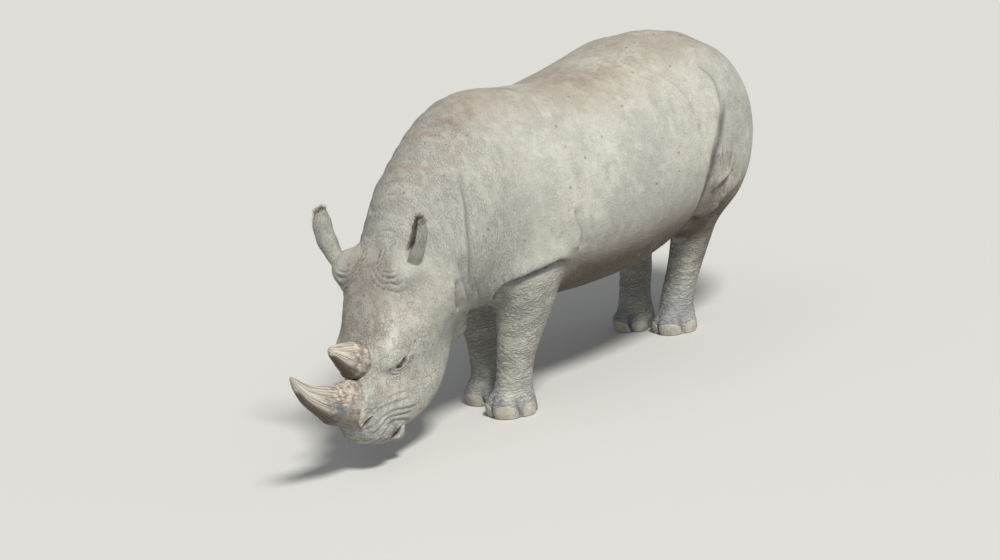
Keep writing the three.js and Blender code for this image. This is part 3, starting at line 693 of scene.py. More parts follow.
def capped_tube(grid):
    """Points and faces of a closed tube: rings of a grid, with a point in the middle of each end."""
    rows, columns = grid.shape[:2]
    ends = grid[[0, -1]].mean(axis=1)
    points = np.concatenate([grid.reshape(-1, 3), ends])
    faces = [tuple(f) for f in grid_faces(rows, columns)]
    j = np.arange(columns)
    k = (j + 1) % columns
    last = (rows - 1) * columns
    faces += list(zip(k, j, np.full(columns, rows * columns)))
    faces += list(zip(last + j, last + k, np.full(columns, rows * columns + 1)))
    return points, faces


def faced_out(mesh):
    """Turns every face of a closed mesh outwards."""
    bm = bmesh.new()
    bm.from_mesh(mesh)
    bmesh.ops.recalc_face_normals(bm, faces=bm.faces)
    bm.to_mesh(mesh)
    bm.free()


def write_mark(mesh, name, values):
    """Writes one number, or one vector, at each point of a mesh."""
    flat = np.asarray(values, np.float32)
    if flat.ndim == 1:
        mesh.attributes.new(name, "FLOAT", "POINT").data.foreach_set("value", flat)
    else:
        mesh.attributes.new(name, "FLOAT_VECTOR", "POINT").data.foreach_set("vector", flat.ravel())


def read_points(mesh):
    """A mesh's points as an array."""
    flat = np.empty(len(mesh.vertices) * 3)
    mesh.vertices.foreach_get("co", flat)
    return flat.reshape(-1, 3)


def write_points(mesh, points):
    """Puts an array of points back into a mesh."""
    mesh.vertices.foreach_set("co", points.ravel())
    mesh.update()


def mesh_edges(mesh):
    """A mesh's edges as pairs of point numbers."""
    flat = np.empty(len(mesh.edges) * 2, int)
    mesh.edges.foreach_get("vertices", flat)
    return flat.reshape(-1, 2)


def smoothed(points, edges, share, rounds):
    """Points moved by some share, rounds times, to the mean of their neighbours."""
    i, j = edges.T
    n = len(points)
    count = np.maximum(np.bincount(i, minlength=n) + np.bincount(j, minlength=n), 1)
    share = np.broadcast_to(share, n)[:, None]
    for _ in range(rounds):
        total = np.zeros_like(points)
        for k in range(3):
            total[:, k] = np.bincount(i, points[j, k], n) + np.bincount(j, points[i, k], n)
        points = mix(points, total / count[:, None], share)
    return points


def finer_where(mesh, wanted):
    """Splits in two every edge of the faces whose middles wanted() picks."""
    bm = bmesh.new()
    bm.from_mesh(mesh)
    bm.faces.ensure_lookup_table()
    middles = np.array([f.calc_center_median() for f in bm.faces])
    picked = np.flatnonzero(wanted(middles))
    edges = {e for k in picked for e in bm.faces[k].edges}
    bmesh.ops.subdivide_edges(bm, edges=list(edges), cuts=1, use_grid_fill=True)
    big = [f for f in bm.faces if len(f.verts) > 4]
    bmesh.ops.triangulate(bm, faces=big)
    bm.to_mesh(mesh)
    bm.free()


# ------------------------------------------------------------------ camera, floor and lights
def make_camera():
    """A long lens looking down at the left front of the animal, tilted a little about its own axis."""
    a, e, r = (np.radians(CAMERA[k]) for k in ("azimuth", "elevation", "roll"))
    back = np.array([np.sin(a) * np.cos(e), -np.cos(a) * np.cos(e), np.sin(e)])
    right = unit(np.cross(-back, [0, 0, 1.0]))
    up = np.cross(right, -back)
    x_axis = right * np.cos(r) - up * np.sin(r)
    y_axis = right * np.sin(r) + up * np.cos(r)
    place = np.eye(4)
    place[:3, :3] = np.stack([x_axis, y_axis, back], axis=1)
    place[:3, 3] = np.array(CAMERA_AIM) + back * CAMERA["distance"]
    data = bpy.data.cameras.new("camera")
    data.lens = CAMERA["lens"]
    data.sensor_width = 36
    data.clip_end = 200
    camera = bpy.data.objects.new("camera", data)
    camera.matrix_world = Matrix(place)
    bpy.context.scene.collection.objects.link(camera)
    bpy.context.scene.camera = camera


def lamp(name, kind, place, power, colour, **settings):
    """A lamp at a place, which faces the middle of the animal."""
    data = bpy.data.lights.new(name, kind)
    data.energy = power
    data.color = colour
    for key, value in settings.items():
        setattr(data, key, value)
    made = bpy.data.objects.new(name, data)
    back = unit(np.array(place) - np.array(LAMPS_AIM))
    right = unit(np.cross([0, 0, 1.0], back))
    turned = np.eye(4)
    turned[:3, :3] = np.stack([right, np.cross(back, right), back], axis=1)
    turned[:3, 3] = place
    made.matrix_world = Matrix(turned)
    bpy.context.scene.collection.objects.link(made)


def make_studio():
    """A wide pale floor, one broad key light high on the left, a weak fill in front and a pale sky."""
    bpy.ops.mesh.primitive_plane_add(size=160, location=(0, 0, 0))
    floor = bpy.context.object
    floor.name = "floor"
    material = bpy.data.materials.new("pale_floor")
    material.use_nodes = True
    shader = material.node_tree.nodes["Principled BSDF"]
    shader.inputs["Base Color"].default_value = (*FLOOR_PALE, 1)
    shader.inputs["Roughness"].default_value = 0.9
    floor.data.materials.append(material)
    lamp("key", "SUN", *KEY, angle=np.radians(14))
    lamp("fill", "AREA", *FILL, size=5.0)
    world = bpy.data.worlds.new("studio_air")
    world.use_nodes = True
    world.node_tree.nodes["Background"].inputs["Color"].default_value = AIR[0]
    world.node_tree.nodes["Background"].inputs["Strength"].default_value = AIR[1]
    bpy.context.scene.world = world
    bpy.context.scene.view_settings.view_transform = "Standard"


# ------------------------------------------------------------------ node helpers and shared effects
def new_node(tree, kind, wires, output=0, **settings):
    """One output of a new node; wires gives each input a wire to read or a value to hold."""
    made = tree.nodes.new(kind)
    for key, value in settings.items():
        setattr(made, key, value)
    for key, value in wires.items():
        if isinstance(value, Wire):
            tree.links.new(value.socket, made.inputs[key])
        else:
            made.inputs[key].default_value = value
    return Wire(tree, made.outputs[output])


class Wire:
    """What a socket gives. Wires are added, multiplied and so on by Math nodes; a | b is the larger."""

    def __init__(self, tree, socket):
        self.tree, self.socket = tree, socket

    def node(self, kind, wires, output=0, **settings):
        """One output of a new node in the same tree."""
        return new_node(self.tree, kind, wires, output, **settings)

    def beside(self, output):
        """Another output of the same node."""
        return Wire(self.tree, self.socket.node.outputs[output])

    def math(self, operation, first, second):
        """A Math node's answer."""
        return self.node("ShaderNodeMath", {0: first, 1: second}, operation=operation)

    def __add__(self, other):
        return self.math("ADD", self, other)

    def __sub__(self, other):
        return self.math("SUBTRACT", self, other)

    def __rsub__(self, other):
        return self.math("SUBTRACT", other, self)

    def __mul__(self, other):
        return self.math("MULTIPLY", self, other)

    def __rtruediv__(self, other):
        return self.math("DIVIDE", other, self)

    def __or__(self, other):
        return self.math("MAXIMUM", self, other)

    def step(self, low, high, to_low=0.0, to_high=1.0):
        """A smooth step: to_low where this is at low, to_high where it is at high."""
        wires = {0: self, 1: low, 2: high, 3: to_low, 4: to_high}
        return self.node("ShaderNodeMapRange", wires, interpolation_type="SMOOTHSTEP")

    def between(self, first, second):
        """A number: first where this is 0, second where it is 1."""
        return self.node("ShaderNodeMix", {0: self, 2: first, 3: second})

    def tint(self, first, second):
        """A colour: first where this is 0, second where it is 1."""
        first, second = (c if isinstance(c, Wire) else (*c, 1.0) for c in (first, second))
        return self.node("ShaderNodeMix", {0: self, 6: first, 7: second}, 2, data_type="RGBA")

    def noise(self, scale, detail=4.0, rough=0.55):
        """Plain noise at this place."""
        wires = {"Vector": self, "Scale": scale, "Detail": detail, "Roughness": rough}
        return self.node("ShaderNodeTexNoise", wires, "Fac")

    def stretched(self, scale, turn=(0, 0, 0)):
        """This place with its axes turned, in degrees, and scaled."""
        wires = {"Vector": self, "Scale": scale, "Rotation": tuple(np.radians(turn))}
        return self.node("ShaderNodeMapping", wires)

    def moved(self, operation, other, key=1):
        """This place and another, or a number, put through a Vector Math node."""
        return self.node("ShaderNodeVectorMath", {0: self, key: other}, operation=operation)


def mark(tree, name, output="Fac"):
    """What a piece wrote down at its points under this name."""
    return new_node(tree, "ShaderNodeAttribute", {}, output, attribute_name=name)


def effect(name, mask, **numbers):
    """A shared node group and the call that puts it in: mask works its answer out of a place and numbers."""
    tree = bpy.data.node_groups.new(name, "ShaderNodeTree")
    tree.interface.new_socket("Vector", in_out="INPUT", socket_type="NodeSocketVector")
    for label, value in numbers.items():
        socket = tree.interface.new_socket(label, in_out="INPUT", socket_type="NodeSocketFloat")
        socket.default_value = value
    tree.interface.new_socket("Mask", in_out="OUTPUT", socket_type="NodeSocketFloat")
    given = tree.nodes.new("NodeGroupInput").outputs
    answer = mask(*[Wire(tree, given[label]) for label in ("Vector", *numbers)])
    tree.links.new(answer.socket, tree.nodes.new("NodeGroupOutput").inputs["Mask"])

    def used(place, *values):
        return place.node("ShaderNodeGroup", dict(enumerate((place, *values))), node_tree=tree)

    return used


def crack_mask(place, scale, width):
    """Cells of dry hide: a net of cracks that wander, and widen and close by turns; 1 in a crack."""
    wires = {"Vector": place, "Scale": scale * 0.5, "Detail": 3.0}
    wander = place.node("ShaderNodeTexNoise", wires, "Color").moved("SUBTRACT", (0.5, 0.5, 0.5))
    bent = place.moved("ADD", wander.moved("SCALE", 1.7 / scale, "Scale"))
    wires = {"Vector": bent, "Scale": scale}
    edge = place.node("ShaderNodeTexVoronoi", wires, "Distance", feature="DISTANCE_TO_EDGE")
    worn = place.noise(scale * 0.3, 3.0, 0.6)
    return edge.step(width * worn.step(0.38, 0.62, 0.45, 1.45), 0.0) * worn.step(0.36, 0.54, 0.20, 1.0)


def mud_mask(place, scale, amount):
    """Dried mud: broad patches broken up by finer ones; 1 where it lies thick."""
    both = place.noise(scale, 5.0, 0.6) * 0.68 + place.noise(scale * 9.0, 5.0, 0.7) * 0.32
    low = (1.0 - amount) * 0.5 + 0.16
    return both.step(low, low + 0.18)


def pit_mask(place, scale, share):
    """Scattered small pits; 1 in a pit."""
    wires = {"Vector": place, "Scale": scale, "Randomness": 1.0}
    found = place.node("ShaderNodeTexVoronoi", wires, "Distance", feature="F1")
    pick = place.node("ShaderNodeSeparateColor", {"Color": found.beside("Color")})
    return found.step(0.24, 0.10) * pick.step(share, share - 0.02)


cracks = effect("cracks", crack_mask, Scale=60.0, Width=0.1)
mud = effect("dried_mud", mud_mask, Scale=4.0, Amount=0.5)
pitted = effect("pits", pit_mask, Scale=30.0, Share=0.3)


def new_material(name):
    """A material, its node tree, its shader and the place on the piece."""
    material = bpy.data.materials.new(name)
    material.use_nodes = True
    tree = material.node_tree
    return material, tree, tree.nodes["Principled BSDF"], new_node(tree, "ShaderNodeTexCoord", {}, "Object")


def layered(colour, *layers):
    """A colour under layers, each of them a mask and the colour that it lays on."""
    for mask, laid in layers:
        colour = mask.tint(colour, laid)
    return colour


def feed(shader, **wires):
    """Wires led into a shader's inputs, named with _ for a space."""
    for key, wire in wires.items():
        wire.tree.links.new(wire.socket, shader.inputs[key.replace("_", " ")])


def relief(height):
    """A normal with a height in millimetres pressed into it."""
    return height.node("ShaderNodeBump", {"Height": height, "Distance": 0.001, "Strength": 1.0})


def hide_material():
    """Dry grey hide under pale dust: cells, wrinkles round the legs and down the neck, mud, stains and painted
    shade.
    """
    material, tree, shader, place = new_material("hide")
    at = {name: mark(tree, name) for name in SKIN_MARKS}
    leg, neck, face, muzzle, haunch, crown = (
        at[name] for name in ("leg", "neck", "face", "muzzle", "haunch", "crown")
    )
    height_up = new_node(tree, "ShaderNodeSeparateXYZ", {0: place}, 2)
    broad = place.noise(2.4, 4.0, 0.6)
    mottle = place.noise(11.0, 6.0, 0.66)
    fine = place.noise(90.0, 5.0, 0.7)
    small = cracks(place, 98.0, 0.15)
    pits = pitted(place, 19.0, 0.13)

    # rings round the legs, slanting lines down the neck, creases and folds of the muzzle, the haunch's weave
    wires = {"Vector": place, "Scale": 19.0, "Distortion": 11.0, "Detail": 4.0, "Detail Scale": 1.3}
    rings = place.node("ShaderNodeTexWave", wires, "Fac", bands_direction="Z").step(0.46, 0.08)
    rings = rings * (leg * height_up.step(0.46, 0.30, 0.30, 1.0) * mottle.step(0.34, 0.56, 0.15, 1.0))
    slanted = place.stretched((30.0, 74.0, 13.0), (24, 0, 0)).noise(1.0, 3.0).step(0.50, 0.36)
    creased = place.stretched((20.0, 16.0, 58.0), (-14, 0, 0)).noise(1.0, 3.0).step(0.47, 0.36)
    folded = place.stretched((26.0, 26.0, 110.0), (-8, 0, 0)).noise(1.0, 3.0).step(0.53, 0.38)
    crossed = place.stretched((34.0, 34.0, 15.0), (0, 38, 30)).noise(1.0, 3.0, 0.6).step(0.50, 0.36)
    lines = rings | folded * muzzle | slanted * (neck * 0.42) | creased * (muzzle * 0.7 + 0.15)
    lines = lines | crossed * (leg * 0.60 | haunch)

    # cells, drawn out down the neck and across the legs, with soft swells between them
    cells = cracks(place.stretched((1.0, 1.0, 0.75)), 70.0, 0.14)
    slack = place.stretched((1.0, 1.5, 0.55), (24, 0, 0))
    loose = cracks(slack, 44.0, 0.50) * neck
    cells = neck.between(cells, cracks(slack, 60.0, 0.13)) * ((neck * 0.26 | face * 0.32) + 0.42)
    level = place.stretched((0.8, 0.8, 2.0), (0, 14, 12))
    swells = cracks(level, 33.0, 0.50) * leg * height_up.step(0.14, 0.30, 0.35, 1.0)
    across = cracks(level, 33.0, 0.15) * leg * height_up.step(0.18, 0.34, 0.25, 0.80)
    cells = cells * leg.step(0.0, 1.0, 1.0, 0.35) | across

    # painted shade in the hollows of lines, cells, swells and pits, partly dark dirt in the cracks
    shade = (lines | cells) * 0.48 | swells * 0.30 | loose * 0.12 | small * 0.12 | pits * 0.50
    stain = mud(place.stretched((1, 1, 1.6)), 3.7, 0.36) * (crown * 0.45 + 0.10)
    forehead = face * crown
    colour = layered(
        broad.step(0.36, 0.62).tint(HIDE_GREY, HIDE_PALE),
        (mottle.step(0.52, 0.74, 0.0, 0.45), HIDE_DUST),
        (mottle.step(0.46, 0.30, 0.0, 0.45), HIDE_DARK),
        (neck * 0.36, HIDE_DARK),
        (leg * 0.14, HIDE_DARK),
        (haunch * mud(place, 8.0, 0.52) * 0.45, HIDE_STAIN),
        (crown * mud(place, 3.1, 0.62) * 0.80, HIDE_TAN),
        (face * mud(place, 8.5, 0.38) * 0.65, HIDE_TAN),
        (forehead * 0.95, HIDE_DARK),
        (forehead * mud(place, 16.0, 0.45) * 0.75, HIDE_STAIN),
        (stain, HIDE_STAIN),
        ((at["foot"] | muzzle * 0.40) * mud(place, 7.0, 0.55) * 0.75, HIDE_BLUE),
        (at["belly"] * (mud(place, 9.0, 0.74) * 0.55 + 0.42), HIDE_MUD),
        (at["ear"] * 0.35, HIDE_DARK),
        (at["hollow"] * 0.80, HIDE_STAIN),
        # painted shade: the hollows above, and the shade painted into the skin's folds, slits and pockets
        (shade | at["painted_shade"] * 0.80, HIDE_DEEP),
    )
    height = lines * -2.2 + cells * -2.6 + swells * -4.5 + loose * -2.0 + small * -0.45 + pits * -1.2
    height = height + mottle * 3.2 + fine * 1.3
    feed(shader, Base_Color=colour, Roughness=fine.step(0.3, 0.7, 0.74, 0.90), Normal=relief(height))
    shader.inputs["Specular IOR Level"].default_value = 0.28
    return material


def horn_material():
    """Horn: cream fibres that run up it, grey-blue and brown where it is worn and wet, and a dark underside,
    partly brown stain and partly painted shade.
    """
    material, tree, shader, place = new_material("horn")
    fibre = mark(tree, "fibre", "Vector")
    along, under, base = mark(tree, "along"), mark(tree, "under"), mark(tree, "base")
    streak = fibre.stretched((9.0, 9.0, 2.2)).noise(1.0, 6.0, 0.62)
    thin = fibre.stretched((34.0, 34.0, 3.5)).noise(1.0, 4.0, 0.6)
    bands = fibre.stretched((1.5, 1.5, 30.0)).noise(1.0, 3.0)
    grain = along.step(0.34, 0.56).between(place.noise(26.0, 6.0, 0.68), streak)
    bark = cracks(fibre.stretched((1.0, 1.0, 1.7)), 7.0, 0.10)
    bark = bark * (along.step(0.62, 0.45) * streak.step(0.62, 0.50, 0.25, 1.0))
    pits = pitted(place, 70.0, 0.22)
    blue = mud(place.stretched((1.0, 1.0, 0.8)), 9.0, 0.58)
    colour = layered(
        grain.step(0.40, 0.57).tint(HORN_DARK, HORN_PALE),
        (bark * 0.55, HORN_BROWN),
        (thin.step(0.50, 0.30, 0.0, 0.55) * along.step(0.2, 0.5, 0.4, 1.0), HORN_BROWN),
        (mud(place, 17.0, 0.44) * along.step(0.62, 0.40) * 0.38, HORN_RUST),
        (blue * mark(tree, "wet"), HORN_BLUE),
        # painted shade, partly brown stain: the horn's underside darkened
        (under.step(0.42, 0.80) * streak.step(0.30, 0.55, 0.70, 1.0) * 0.95, HORN_BROWN),
        (base * thin.step(0.35, 0.6, 0.2, 0.8), HORN_ROOT),
        (pits * 0.45, HORN_BROWN),
    )
    height = grain * 4.2 + thin * 1.2 + bark * -1.6 + bands * 0.8 + pits * -0.6
    feed(shader, Base_Color=colour, Roughness=streak.step(0.3, 0.7, 0.62, 0.46), Normal=relief(height))
    shader.inputs["Specular IOR Level"].default_value = 0.35
    return material


def nail_material():
    """Toenail: pale horn with upright ridges, chips at its lower edge and mud round it."""
    material, tree, shader, place = new_material("toenail")
    fibre, rim, margin = mark(tree, "fibre", "Vector"), mark(tree, "rim"), mark(tree, "margin")
    ridges = fibre.stretched((26.0, 26.0, 3.0)).noise(1.0, 5.0, 0.6)
    bands = fibre.stretched((2.0, 2.0, 22.0)).noise(1.0, 3.0, 0.5)
    chips = cracks(place.stretched((1.0, 1.0, 0.5)), 30.0, 0.05)
    colour = layered(
        ridges.step(0.36, 0.64).tint(NAIL_DARK, NAIL_PALE),
        (bands.step(0.5, 0.66, 0.0, 0.3), HORN_PALE),
        (margin * place.noise(40.0).step(0.3, 0.6, 0.5, 1.0), HIDE_GREY),
        (mud(place, 22.0, 0.40) * 0.55, HIDE_STAIN),
        (chips * 0.25 | rim * 0.7, HIDE_DEEP),
    )
    height = ridges * 1.3 + bands * 0.8 + chips * -0.9
    feed(shader, Base_Color=colour, Roughness=ridges.step(0.3, 0.7, 0.70, 0.50), Normal=relief(height))
    return material


def eye_material():
    """Eyeball: a dark brown iris with fine rays round a black pupil, wet and glossy."""
    material, tree, shader, _ = new_material("eye")
    gaze = mark(tree, "gaze")
    rays = mark(tree, "fibre", "Vector").stretched((14.0, 14.0, 1.5)).noise(1.0, 3.0, 0.6)
    iris = rays.step(0.35, 0.65).tint(IRIS_DARK, IRIS_BROWN)
    colour = gaze.step(0.20, 0.25).tint(PUPIL_BLACK, iris)
    feed(shader, Base_Color=gaze.step(0.56, 0.70).tint(colour, EYE_RIM))
    shader.inputs["Roughness"].default_value = 0.12
    shader.inputs["Coat Weight"].default_value = 1.0
    shader.inputs["Coat Roughness"].default_value = 0.03
    return material


def hair_material():
    """Coarse hair: dark at the root and paler to the tip, each tuft its own shade."""
    material, tree, shader, place = new_material("hair")
    colour = layered(
        mark(tree, "tip").tint(HAIR_ROOT, HAIR_TIP),
        (mark(tree, "shade"), HAIR_PALE),
        (place.noise(300.0, 2.0).step(0.6, 0.4, 0.0, 0.3), HAIR_DARK),
    )
    feed(shader, Base_Color=colour)
    shader.inputs["Roughness"].default_value = 0.62
    return material


# ------------------------------------------------------------------ lines that folds follow
def marks_in_space(kind, marks, side):
    """Starting points outside the flesh for a fold's marks, and the way from them to it.

    flank, pleat, fore, hind and thigh marks are y and z, seen from the side; face marks are a and b, seen
    along c; brow marks are a and c, seen along b; nape marks are x and y, seen from above.
    """
    marks = np.array(marks, float)
    n = len(marks)
    if kind in FAR_SHIFT:
        shift = FAR_SHIFT[kind] * (side < 0)
        points = np.stack([np.full(n, 0.95 * side), marks[:, 0] + FEET_LINE + shift, marks[:, 1]], axis=1)
        return points, np.tile([-side, 0.0, 0.0], (n, 1))
    if kind == "nape":
        points = np.stack([marks[:, 0] * side, marks[:, 1] + FEET_LINE, np.full(n, 2.0)], axis=1)
        return points, np.tile([0.0, 0.0, -1.0], (n, 1))
    if kind == "face":
        points = from_head(np.stack([marks[:, 0], marks[:, 1], np.full(n, 0.5 * side)], axis=1))
        return points, np.tile(-side * HEAD_AXES[:, 2], (n, 1))
    points = from_head(np.stack([marks[:, 0], np.full(n, 0.8), marks[:, 1] * side], axis=1))
    return points, np.tile(-HEAD_AXES[:, 1], (n, 1))


def fold_lines():
    """Every fold's path on the flesh, with its sizes: each line's marks are landed in one go."""
    starts, ways, sizes, rows = [], [], [], []
    for kind, marks, sides, width, depth, lip, spread in FOLDS:
        for side in (1, -1) if sides == 2 else (1,):
            points, way = marks_in_space(kind, marks, side)
            starts.append(points)
            ways.append(way)
            sizes.append(len(points))
            shade = FOLD_SHADE[kind] * (1.0 if side > 0 else FAR_SHADE)
            back = FOLD_BACK.get(kind, USUAL_BACK)
            rows.append((width, depth, lip, spread, side, shade, back))
    landed = landing(flesh, np.concatenate(starts), np.concatenate(ways))
    lines = []
    for points, row in zip(np.split(landed, np.cumsum(sizes)[:-1]), rows):
        lines.append((even_rows(points, 6 * len(points)), *row))
    return lines + foot_lines()


def foot_lines():
    """Clefts between the toes, and creases round the front of each ankle."""
    lines = []
    for name, foot in FEET.items():
        field = LIMBS[name]
        centre = np.array([foot["x"], foot["y"], 0.0])
        rows = even_rows(foot["rows"], 80)
        for angle in CLEFT_TURNS:
            z = np.linspace(0.002, 0.112, 14)
            out = rotation("z", foot["turn"] + angle) @ np.array([0, -1.0, 0])
            points = centre + 0.32 * out + z[:, None] * UP
            lines.append((landing(field, points, -out) + START, *CLEFT))
        for z, reach, depth in ANKLE_CREASES[name.split("_")[0]]:
            turn = np.radians(np.linspace(-reach, reach, 26) + foot["turn"])
            row = rows[np.abs(rows[:, 2] - z).argmin()]
            middle = np.array([foot["x"] + row[0] * foot["side"], foot["y"] + row[1], z])
            out = np.stack([np.sin(turn), -np.cos(turn), 0 * turn], axis=1)
            wave = 0.010 * np.sin(3 * turn + 40 * z) + 0.006 * np.sin(7 * turn + 90 * z)
            points = middle + 0.30 * out + wave[:, None] * UP
            path = landing(field, points, -out) + START
            width, swell, spread, shade = CREASE.values()
            lines.append((path, width, depth, swell * depth, spread, 1, shade, USUAL_BACK))
    return lines


def beside(p, n, path):
    """Signed distance of surface points across a path, and the share of the way along it."""
    steps = np.diff(path, axis=0)
    length = np.linalg.norm(steps, axis=1)
    reached = np.concatenate([[0], np.cumsum(length)])
    best = np.full(len(p), np.inf)
    across, share = np.zeros(len(p)), np.zeros(len(p))
    for i, step in enumerate(steps):
        t = np.clip((p - path[i]) @ step / (step @ step), 0, 1)
        away = p - path[i] - t[:, None] * step
        d = (away * away).sum(1)
        nearer = d < best
        best[nearer] = d[nearer]
        sideways = unit(np.cross(step / length[i], n[nearer]))
        across[nearer] = (away[nearer] * sideways).sum(1)
        share[nearer] = (reached[i] + t[nearer] * length[i]) / reached[-1]
    return across, share


def near_line(p, path, reach):
    """Points within some reach of a path."""
    low, high = path.min(0) - reach, path.max(0) + reach
    boxed = np.flatnonzero(((p > low) & (p < high)).all(1))
    d = np.linalg.norm(p[boxed][:, None] - path[None], axis=2).min(1)
    return boxed[d < reach]


# ------------------------------------------------------------------ the skin
def in_head(p, a_low, a_high):
    """Points of the head between two distances along it, in front of the neck."""
    a, b, c = to_head(p).T
    return (a > a_low) & (a < a_high) & (np.abs(c) < 0.36) & (b < 0.60)


def around(p, centre, radius):
    """Points within a radius of a centre."""
    return np.linalg.norm(p - centre, axis=1) < radius


def eye_place(side):
    """An eyeball's centre, and the ways along its lids, up from them and out of the face."""
    start = from_head([*EYE_AT, 0.32 * side])
    way = -side * HEAD_AXES[:, 2]
    seat = landing(flesh, start[None], way)[0]
    tilt = np.radians(EYE_SLIT["tilt"])
    along = np.cos(tilt) * HEAD_AXES[:, 0] + np.sin(tilt) * HEAD_AXES[:, 1]
    out = unit(slope(flesh, seat[None])[1][0])
    out = unit(out - 0.6 * along * (out @ along))
    along = unit(along - out * (along @ out))
    up = unit(HEAD_AXES[:, 1] - along * (HEAD_AXES[:, 1] @ along))
    up = unit(up - out * (up @ out))
    return seat - out * EYE_SUNK, along, up, out


def ear_axis(side_name):
    """An ear's foot and tip, and the way from one to the other."""
    foot, tip = from_head(EARS[side_name][0]), from_head(EARS[side_name][1])
    return foot, tip, unit(tip - foot)


def ear_grid(side_name, rows=64, columns=72):
    """An ear: a hollow leaf whose wall goes out round the back and comes home round the inside.

    At u along the bowed axis the wall's radius is wide, and thick less inside; it spans an angle half either
    way round from the back. The last part of the axis is rounded off like the end of a finger.
    """
    *_, bow, opening = EARS[side_name]
    foot, tip, axis = ear_axis(side_name)
    face = HEAD_AXES @ np.array(opening)
    face = unit(face - axis * (face @ axis))
    across = np.cross(axis, face)
    u = np.linspace(0, 1, rows)[:, None]
    v = np.linspace(0, 1, columns, endpoint=False)[None]
    length = np.linalg.norm(tip - foot)
    wide = EAR_WIDTH["foot"] + EAR_WIDTH["swell"] * np.sin(np.pi * np.minimum(1, 0.1 + 0.75 * u)) ** 0.8
    wide = wide - EAR_WIDTH["taper"] * np.maximum(0, u - 0.75) ** 1.3
    tip_round = np.sqrt(np.maximum(1 - (np.maximum(u - 0.90, 0) / 0.102) ** 2, 0.03))
    wide = wide * tip_round * (1 + 0.03 * np.sin(19 * u + side_name.count("l")))
    thick = (EAR_WALL["foot"] - EAR_WALL["taper"] * u) * np.maximum(tip_round, 0.5)
    half = np.radians(mix(EAR_HALF["foot"], EAR_HALF["blade"], np.minimum(1, 1.6 * u)))
    rounding = 0.06
    inner = rise(0.5 - rounding, 0.5 + rounding, v) * rise(1.0, 1.0 - rounding, v)
    inner = np.where(v < 0.5 - rounding, rise(rounding, 0, v) * 0.5, inner)
    turn = np.where(v < 0.5, mix(-half, half, 2 * v), mix(-half, half, 2 - 2 * v))
    radius = wide - thick * np.where(v < 0.5, 0, 1) * np.ones_like(u)
    at = foot + axis * (length * u)[..., None] + HEAD_AXES[:, 2] * (4 * bow * u * (1 - u))[..., None]
    ripple = 0.0012 * np.sin(5 * turn + 9 * u)
    radius = radius + ripple * rise(0, 0.3, u)
    return at - face * (radius * np.cos(turn))[..., None] + across * (radius * np.sin(turn))[..., None]


def tail_grid(rows=70, columns=28):
    """A tail that hangs down the rump: rings whose radii are read smoothly down its rows."""
    table = even_rows(TAIL_ROWS, rows)
    drop, wide, deep = table.T
    z = TAIL_ROOT_Z - drop
    starts = np.stack([0 * z, np.full(rows, 2.7 + FEET_LINE), z], axis=1)
    skin_y = landing(flesh, starts, np.array([0, -1.0, 0]), 90)[:, 1]
    hang = skin_y + deep + 0.010
    hang = np.maximum.accumulate(hang)
    root = rise(0.14, -0.02, drop)
    y = mix(hang, skin_y - 0.035, root)
    turn = full_turn(columns)
    return np.stack([wide[:, None] * np.sin(turn), y[:, None] + deep[:, None] * np.cos(turn),
                     np.broadcast_to(z[:, None], (rows, columns))], axis=2)


def joined(skin, name, points, faces):
    """Adds a closed shell to the skin, so that the two are one closed surface."""
    mesh = bpy.data.meshes.new(name)
    mesh.from_pydata(points.tolist(), [], [list(map(int, f)) for f in faces])
    faced_out(mesh)
    part = bpy.data.objects.new(name, mesh)
    bpy.context.scene.collection.objects.link(part)
    union = skin.modifiers.new("union", "BOOLEAN")
    union.operation = "UNION"
    union.solver = "EXACT"
    union.object = part
    bpy.context.view_layer.update()
    whole = bpy.data.meshes.new_from_object(skin.evaluated_get(bpy.context.evaluated_depsgraph_get()))
    skin.modifiers.clear()
    old = skin.data
    skin.data = whole
    bpy.data.meshes.remove(old)
    bpy.data.objects.remove(part)
    whole.name = "skin"


def bare_skin(lines, eyes):
    """The net of the flesh with ears and tail joined on: finer on head, feet and folds, finest at the eyes."""
    low = np.array([-0.64, FEET_LINE - 1.22, -0.15])
    counts = [4 * int(np.ceil(span / VOXEL / 4)) for span in (1.28, 3.44, 1.93)]
    points, quads = surface_net(sampled(flesh, low, counts, VOXEL), low, VOXEL)
    points = settle(flesh, points, 2)
    piece = new_piece("skin", points, quads)
    mesh = piece.data
    points = smoothed(points, mesh_edges(mesh), 0.5, 2)
    write_points(mesh, points)
    ears = [ear_axis(name)[0] for name in EARS]

    def near_lines(p, reach, narrow):
        picked = np.zeros(len(p), bool)
        for path, width, *_ in lines:
            if width < narrow:
                picked[near_line(p, path, reach)] = True
        return picked

    def first(p):
        return in_head(p, -1.00, 0.2) | (p[:, 2] < 0.13) | near_lines(p, NEAR["fold"], 1.0)

    def second(p):
        a, b, _ = to_head(p).T
        lips = (a > -0.24) & (b > -0.06) & (b < 0.24)
        picked = lips | near_lines(p, NEAR["narrow_fold"], NARROW)
        for ear in ears:
            picked |= around(p, ear + 0.03 * HEAD_AXES[:, 1], NEAR["ear"])
        for centre, *_ in eyes:
            picked |= around(p, centre, NEAR["eye"])
        return picked

    def third(p):
        a, b, _ = to_head(p).T
        picked = (a > -0.20) & (np.abs(b - mouth_line(a)) < NEAR["mouth"])
        for centre, *_ in eyes:
            picked |= around(p, centre, NEAR["lids"])
        return picked

    for wanted in (first, second, third):
        finer_where(mesh, wanted)
        points = settle(flesh, smoothed(read_points(mesh), mesh_edges(mesh), 0.4, 2), 2)
        points[:, 2] = np.maximum(points[:, 2], 0)
        write_points(mesh, points)
    for name in EARS:
        joined(piece, f"ear_{name}", *capped_tube(ear_grid(name)))
    joined(piece, "tail", *capped_tube(tail_grid()))
    return piece


